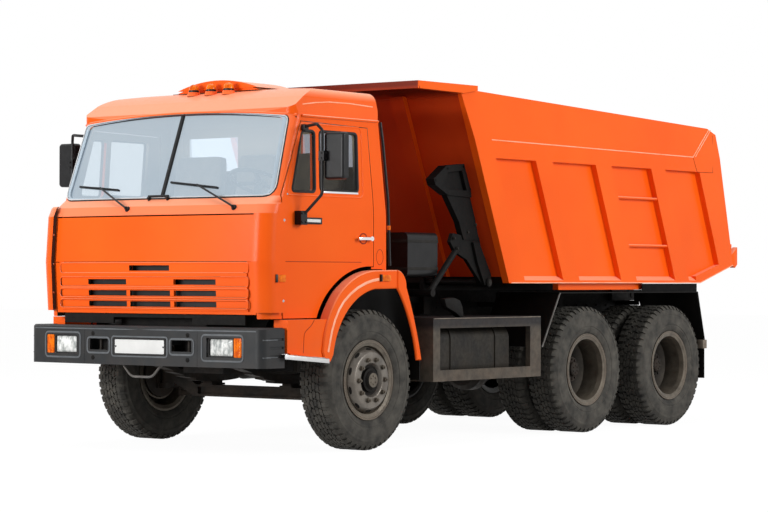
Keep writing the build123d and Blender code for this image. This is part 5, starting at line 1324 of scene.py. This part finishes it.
def cabin():
    """Seats with seams on their bases, and the dash's dials."""
    first = None
    for x, w, label, foot in SEATS:
        base = block((x - w / 2 + 60, x + w / 2 - 60), (-420, -40), (foot, 1566))
        piece(f"seat_base_{label}", base, "cab", TRIM, "trim_plastic", 8)
        for part, solid in (("cushion", cushion((w - 6, 480, 124), (x, -230, 1622))),
                            ("back", cushion((w - 6, 588, 112), (x, 58, 1960), 82))):
            soft = piece(f"seat_{part}_{label}", solid, "cab", SEAT, "seat_fabric", smooth=180)
            first = first or soft
    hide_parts("seats")
    dials = Solid()
    for x, r in DIALS:
        rim = [(-4, r), (6, r), (6, r - 6), (1, r - 8)]
        dials.join(turned(rim, (x, -712, 1790), (0, 1, 0.35), 28))
    piece("dials", dials, "cab", BLACK, "black_plastic")


# ---- behind the cab, on the chassis

CORNER_PIPE = [(1046, 258, 2450), (1066, 264, 2300), (1102, 282, 1866), (1116, 288, 1370)]
CARRIER_BOLTS = [(1016, 2128), (1225, 2150), (1320, 1975), (860, 2032), (1120, 1590), (1160, 1510),
                 (815, 1165), (1300, 1640), (1400, 1700)]     # (Y, Z)
CARRIER_HOOK = (1134, 1560, 1245)
RAIL_BOLT_Y = range(700, 4700, 160)
BRAKE_Y = (3050, 4370)
GUARD_BRACKET = [(887, 1119), (1010, 1128), (1090, 1108), (1124, 1060), (1141, 976), (1096, 976),
                 (1040, 1010), (913, 1056)]     # (Y, Z)
MUDGUARD_UPPER = [(3470, 1163), (4606, 1163), (4606, 1234), (3690, 1234), (3690, 1183),
                  (3470, 1183)]     # (Y, Z)


def chassis_parts():
    """Pipe behind the cab, straps, bolts, tank cap and brake chambers of the axles."""
    piece("corner_pipe", pipe(CORNER_PIPE, 11, 30), "cab", BLACK, "black_plastic")
    marker = rod((1108, 285, 1640), (1108, 285, 1672), 15)
    piece("pipe_marker", marker, "cab", AMBER_LENS, "lamp_lens")
    foot = back(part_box("air_cleaner")[0]).z
    straps = merged(block((636, 1064), (579, 971), (z, z + 22)) for z in (foot + 260, foot + 470))
    piece("cleaner_straps", straps, "root", IRON, "frame_paint", 2)
    bolts = nuts([(1106, y, z) for y, z in CARRIER_BOLTS], (1, 0, 0), 20, 14)
    bolts.join(nut(CARRIER_HOOK, (1, 0, 0), 40, 10))
    piece("carrier_bolts", bolts, "root", IRON, "frame_paint")
    bolts = nuts([(425, y, z) for y in RAIL_BOLT_Y for z in (830, 1040)], (1, 0, 0), 16, 8)
    piece("rail_bolts", bolts.both(), "root", CHASSIS, "frame_paint")
    cap = turned([(0, 44), (26, 44), (34, 36)], (930, 1020, 918), (0, 0, 1), 24)
    piece("tank_cap", cap, "root", IRON, "tank_paint")
    chambers = Solid()
    for y in BRAKE_Y:
        can = [(-70, 60), (-20, 78), (20, 78), (70, 56)]
        chambers.join(turned(can, (560, y, 560), (0, 1, 0.15), 28),
                      rod((560, y - 60, 555), (640, y - 150, 545), 14))
    piece("brake_chambers", chambers.both(), "root", IRON, "axle_iron")


def chassis_trim():
    """Worn strips of the mudguards and guards, ends of the rear bar, the guards' bracket and black
    uppers of painted shade on the mudguards.
    """
    strip = prism([(2146, 723), (2162, 723), (2421, 1159), (2407, 1162)], (1230, 1240))
    ends = block((1182, 1240), (4702, 4770), (657, 734))
    piece("mudguard_edges", strip.both(), "root", STEEL_GREY, "frame_paint", 2)
    piece("rear_bar_ends", ends.both(), "root", GREY_WEAR_AND_HIGHLIGHT, "frame_paint", 4)
    piece("guard_bracket", prism(GUARD_BRACKET, (1132, 1188)), "root", CHASSIS, "frame_paint", 6)
    # near-black sheet of painted shade over the mudguards' uppers
    uppers = prism(MUDGUARD_UPPER, (1228, 1232))
    piece("mudguard_uppers", uppers.both(), "root", SHADE_BLACK, "frame_paint")
    edge = block((1230, 1236), (690, 2132), (966, 972))
    piece("guard_worn_edge", edge.both(), "root", GREY_WEAR_AND_HIGHLIGHT, "frame_paint")


# ---- dump body

BED_HALF = 1250
BELT_CREASE = 2362
TOP_LEAN = 30 / 398        # how far the side walls lean in above the crease
HIGHLIGHT_LINES = [             # (Y, Z) lines of painted highlight on the side walls
    [(1424, 2366), (4507, 2352)],
    [(4507, 2352), (4806, 2605)],
    [(4546, 2356), (4842, 2606)],
    [(1694, 1242), (4640, 1242), (4992, 1340), (5214, 1400)],
]
SHADE_LINES = [            # thin seams between the plates
    [(4512, 2344), (4580, 2222)],
    [(4580, 2222), (4852, 2226)],
    [(4852, 2226), (4868, 2560)],
]
TAIL_LIP = [(5184, 1399), (5214, 1404), (5214, 1412), (5184, 1410)]
HOOK = [(5196, 1496), (5240, 1520), (5304, 1566), (5306, 1408), (5264, 1376), (5216, 1398)]


def wall_lines(lines, r):
    """Round lines on the outer faces of both side walls."""
    solid = Solid()
    for line in lines:
        spots = [(BED_HALF + 0.5 - max(0, z - BELT_CREASE) * TOP_LEAN, y, z) for y, z in line]
        solid.join(pipe(spots, r, steps=8))
    return solid.both()


def bed_trim():
    """Painted highlights on the edges and creases of the side walls, their seams, the floor's rear
    lip and the hooks beside it.
    """
    piece("bed_highlights", wall_lines(HIGHLIGHT_LINES, 4.2), "bed", HIGHLIGHT_ORANGE, "body_paint")
    piece("bed_seams", wall_lines(SHADE_LINES, 2.4), "bed", SHADE, "body_paint")
    piece("floor_tail_lip", prism(TAIL_LIP, (-1186, 1186)), "bed", BODY_ORANGE, "body_paint")
    piece("bed_hooks", prism(HOOK, (1196, 1246)).both(), "bed", BODY_ORANGE, "body_paint", 4)


# ---- stage and camera

FOCAL_PX = 2467.22
PHOTO_W = 768
SENSOR = 36.0
CAMERA_MM = (12423.4, -14417.2, 1281.5)
AZIMUTH = 37.694
PITCH = 0.5026
ROLL = 0.1154
CLIP_END = 200
WORLD_FILL = 0.34
FLOOR_SIZE = 120
FLOOR_GREY = (0.45, 0.45, 0.45, 1)
FLOOR_SHINE = 1.14
FLOOR_SHARE = 0.84         # share of its own light in what is seen of the floor
LIGHTS = [                 # name, place and target in metres, size, power
    ("front", (-2.5, -13, 2.8), (0, -3, 1.6), (5, 3), 900),
    ("side", (13, 2.3, 6), (0, 0.5, 1.5), (5, 5), 1200),
    ("far", (-9, -3, 6), (0, 0, 1.2), (6, 5), 120),
    ("top", (0, -2, 10), (0, -1, 0), (6, 9), 420),
]


def camera():
    az, pit, rol = radians(AZIMUTH), radians(PITCH), radians(ROLL)
    ahead = Vector((-sin(az) * cos(pit), cos(az) * cos(pit), sin(pit)))
    right = Vector((cos(az), sin(az), 0))
    up = right.cross(ahead)
    turn = Matrix((right * cos(rol) + up * sin(rol), up * cos(rol) - right * sin(rol), -ahead))
    data = bpy.data.cameras.new("camera")
    data.sensor_width = SENSOR
    data.lens = FOCAL_PX * SENSOR / PHOTO_W
    data.clip_end = CLIP_END
    obj = add_object("camera", data)
    obj.matrix_world = Matrix.Translation(at(*CAMERA_MM)) @ turn.transposed().to_4x4()
    bpy.context.scene.camera = obj


def area_light(name, spot, target, size, power):
    data = bpy.data.lights.new(name, "AREA")
    data.shape = "RECTANGLE"
    data.size, data.size_y = size
    data.energy = power
    obj = add_object(name, data)
    obj.location = spot
    obj.rotation_euler = (Vector(target) - Vector(spot)).to_track_quat("-Z", "Y").to_euler()


def is_background(tree):
    """1 for what the camera sees directly, in gloss or through glass."""
    path = new_node(tree, "ShaderNodeLightPath")
    total = path.outputs["Is Camera Ray"]
    for name in ("Is Glossy Ray", "Is Transmission Ray"):
        either = new_node(tree, "ShaderNodeMath", operation="MAXIMUM")
        tree.links.new(total, either.inputs[0])
        tree.links.new(path.outputs[name], either.inputs[1])
        total = either.outputs[0]
    return total


def stage():
    """White surroundings, a floor that shines to the camera alone, and the lights."""
    world = bpy.data.worlds.new("studio")
    bpy.context.scene.world = world
    world.use_nodes = True
    tree = world.node_tree
    ground = tree.nodes["Background"]
    ground.inputs["Color"].default_value = (1, 1, 1, 1)
    strength = new_node(tree, "ShaderNodeMapRange", To_Min=WORLD_FILL, To_Max=1.0)
    tree.links.new(is_background(tree), strength.inputs["Value"])
    tree.links.new(strength.outputs["Result"], ground.inputs["Strength"])

    n = Nodes("floor")
    n.set(Base_Color=FLOOR_GREY, Roughness=0.9, Specular_IOR_Level=0.1)
    shine = n.node("ShaderNodeEmission", Strength=FLOOR_SHINE)
    share = n.times(is_background(n.tree), FLOOR_SHARE)
    n.blend(share, n.shader.outputs[0], shine.outputs[0])
    mesh = bpy.data.meshes.new("floor")
    h = FLOOR_SIZE / 2
    mesh.from_pydata([(-h, -h, 0), (h, -h, 0), (h, h, 0), (-h, h, 0)], [], [(0, 1, 2, 3)])
    mesh.materials.append(n.mat)
    add_object("floor", mesh)
    for light in LIGHTS:
        area_light(*light)
    bpy.context.scene.view_settings.view_transform = "Standard"


camera()
stage()
finish_nodes()
wheels()
windscreen()
wipers()
grille_details()
clips()
gutter()
roof_lamps()
door_trim()
markers()
mirror_parts()
steps()
bumper_trim()
lamp_units()
cabin()
chassis_parts()
bed_trim()
chassis_trim()
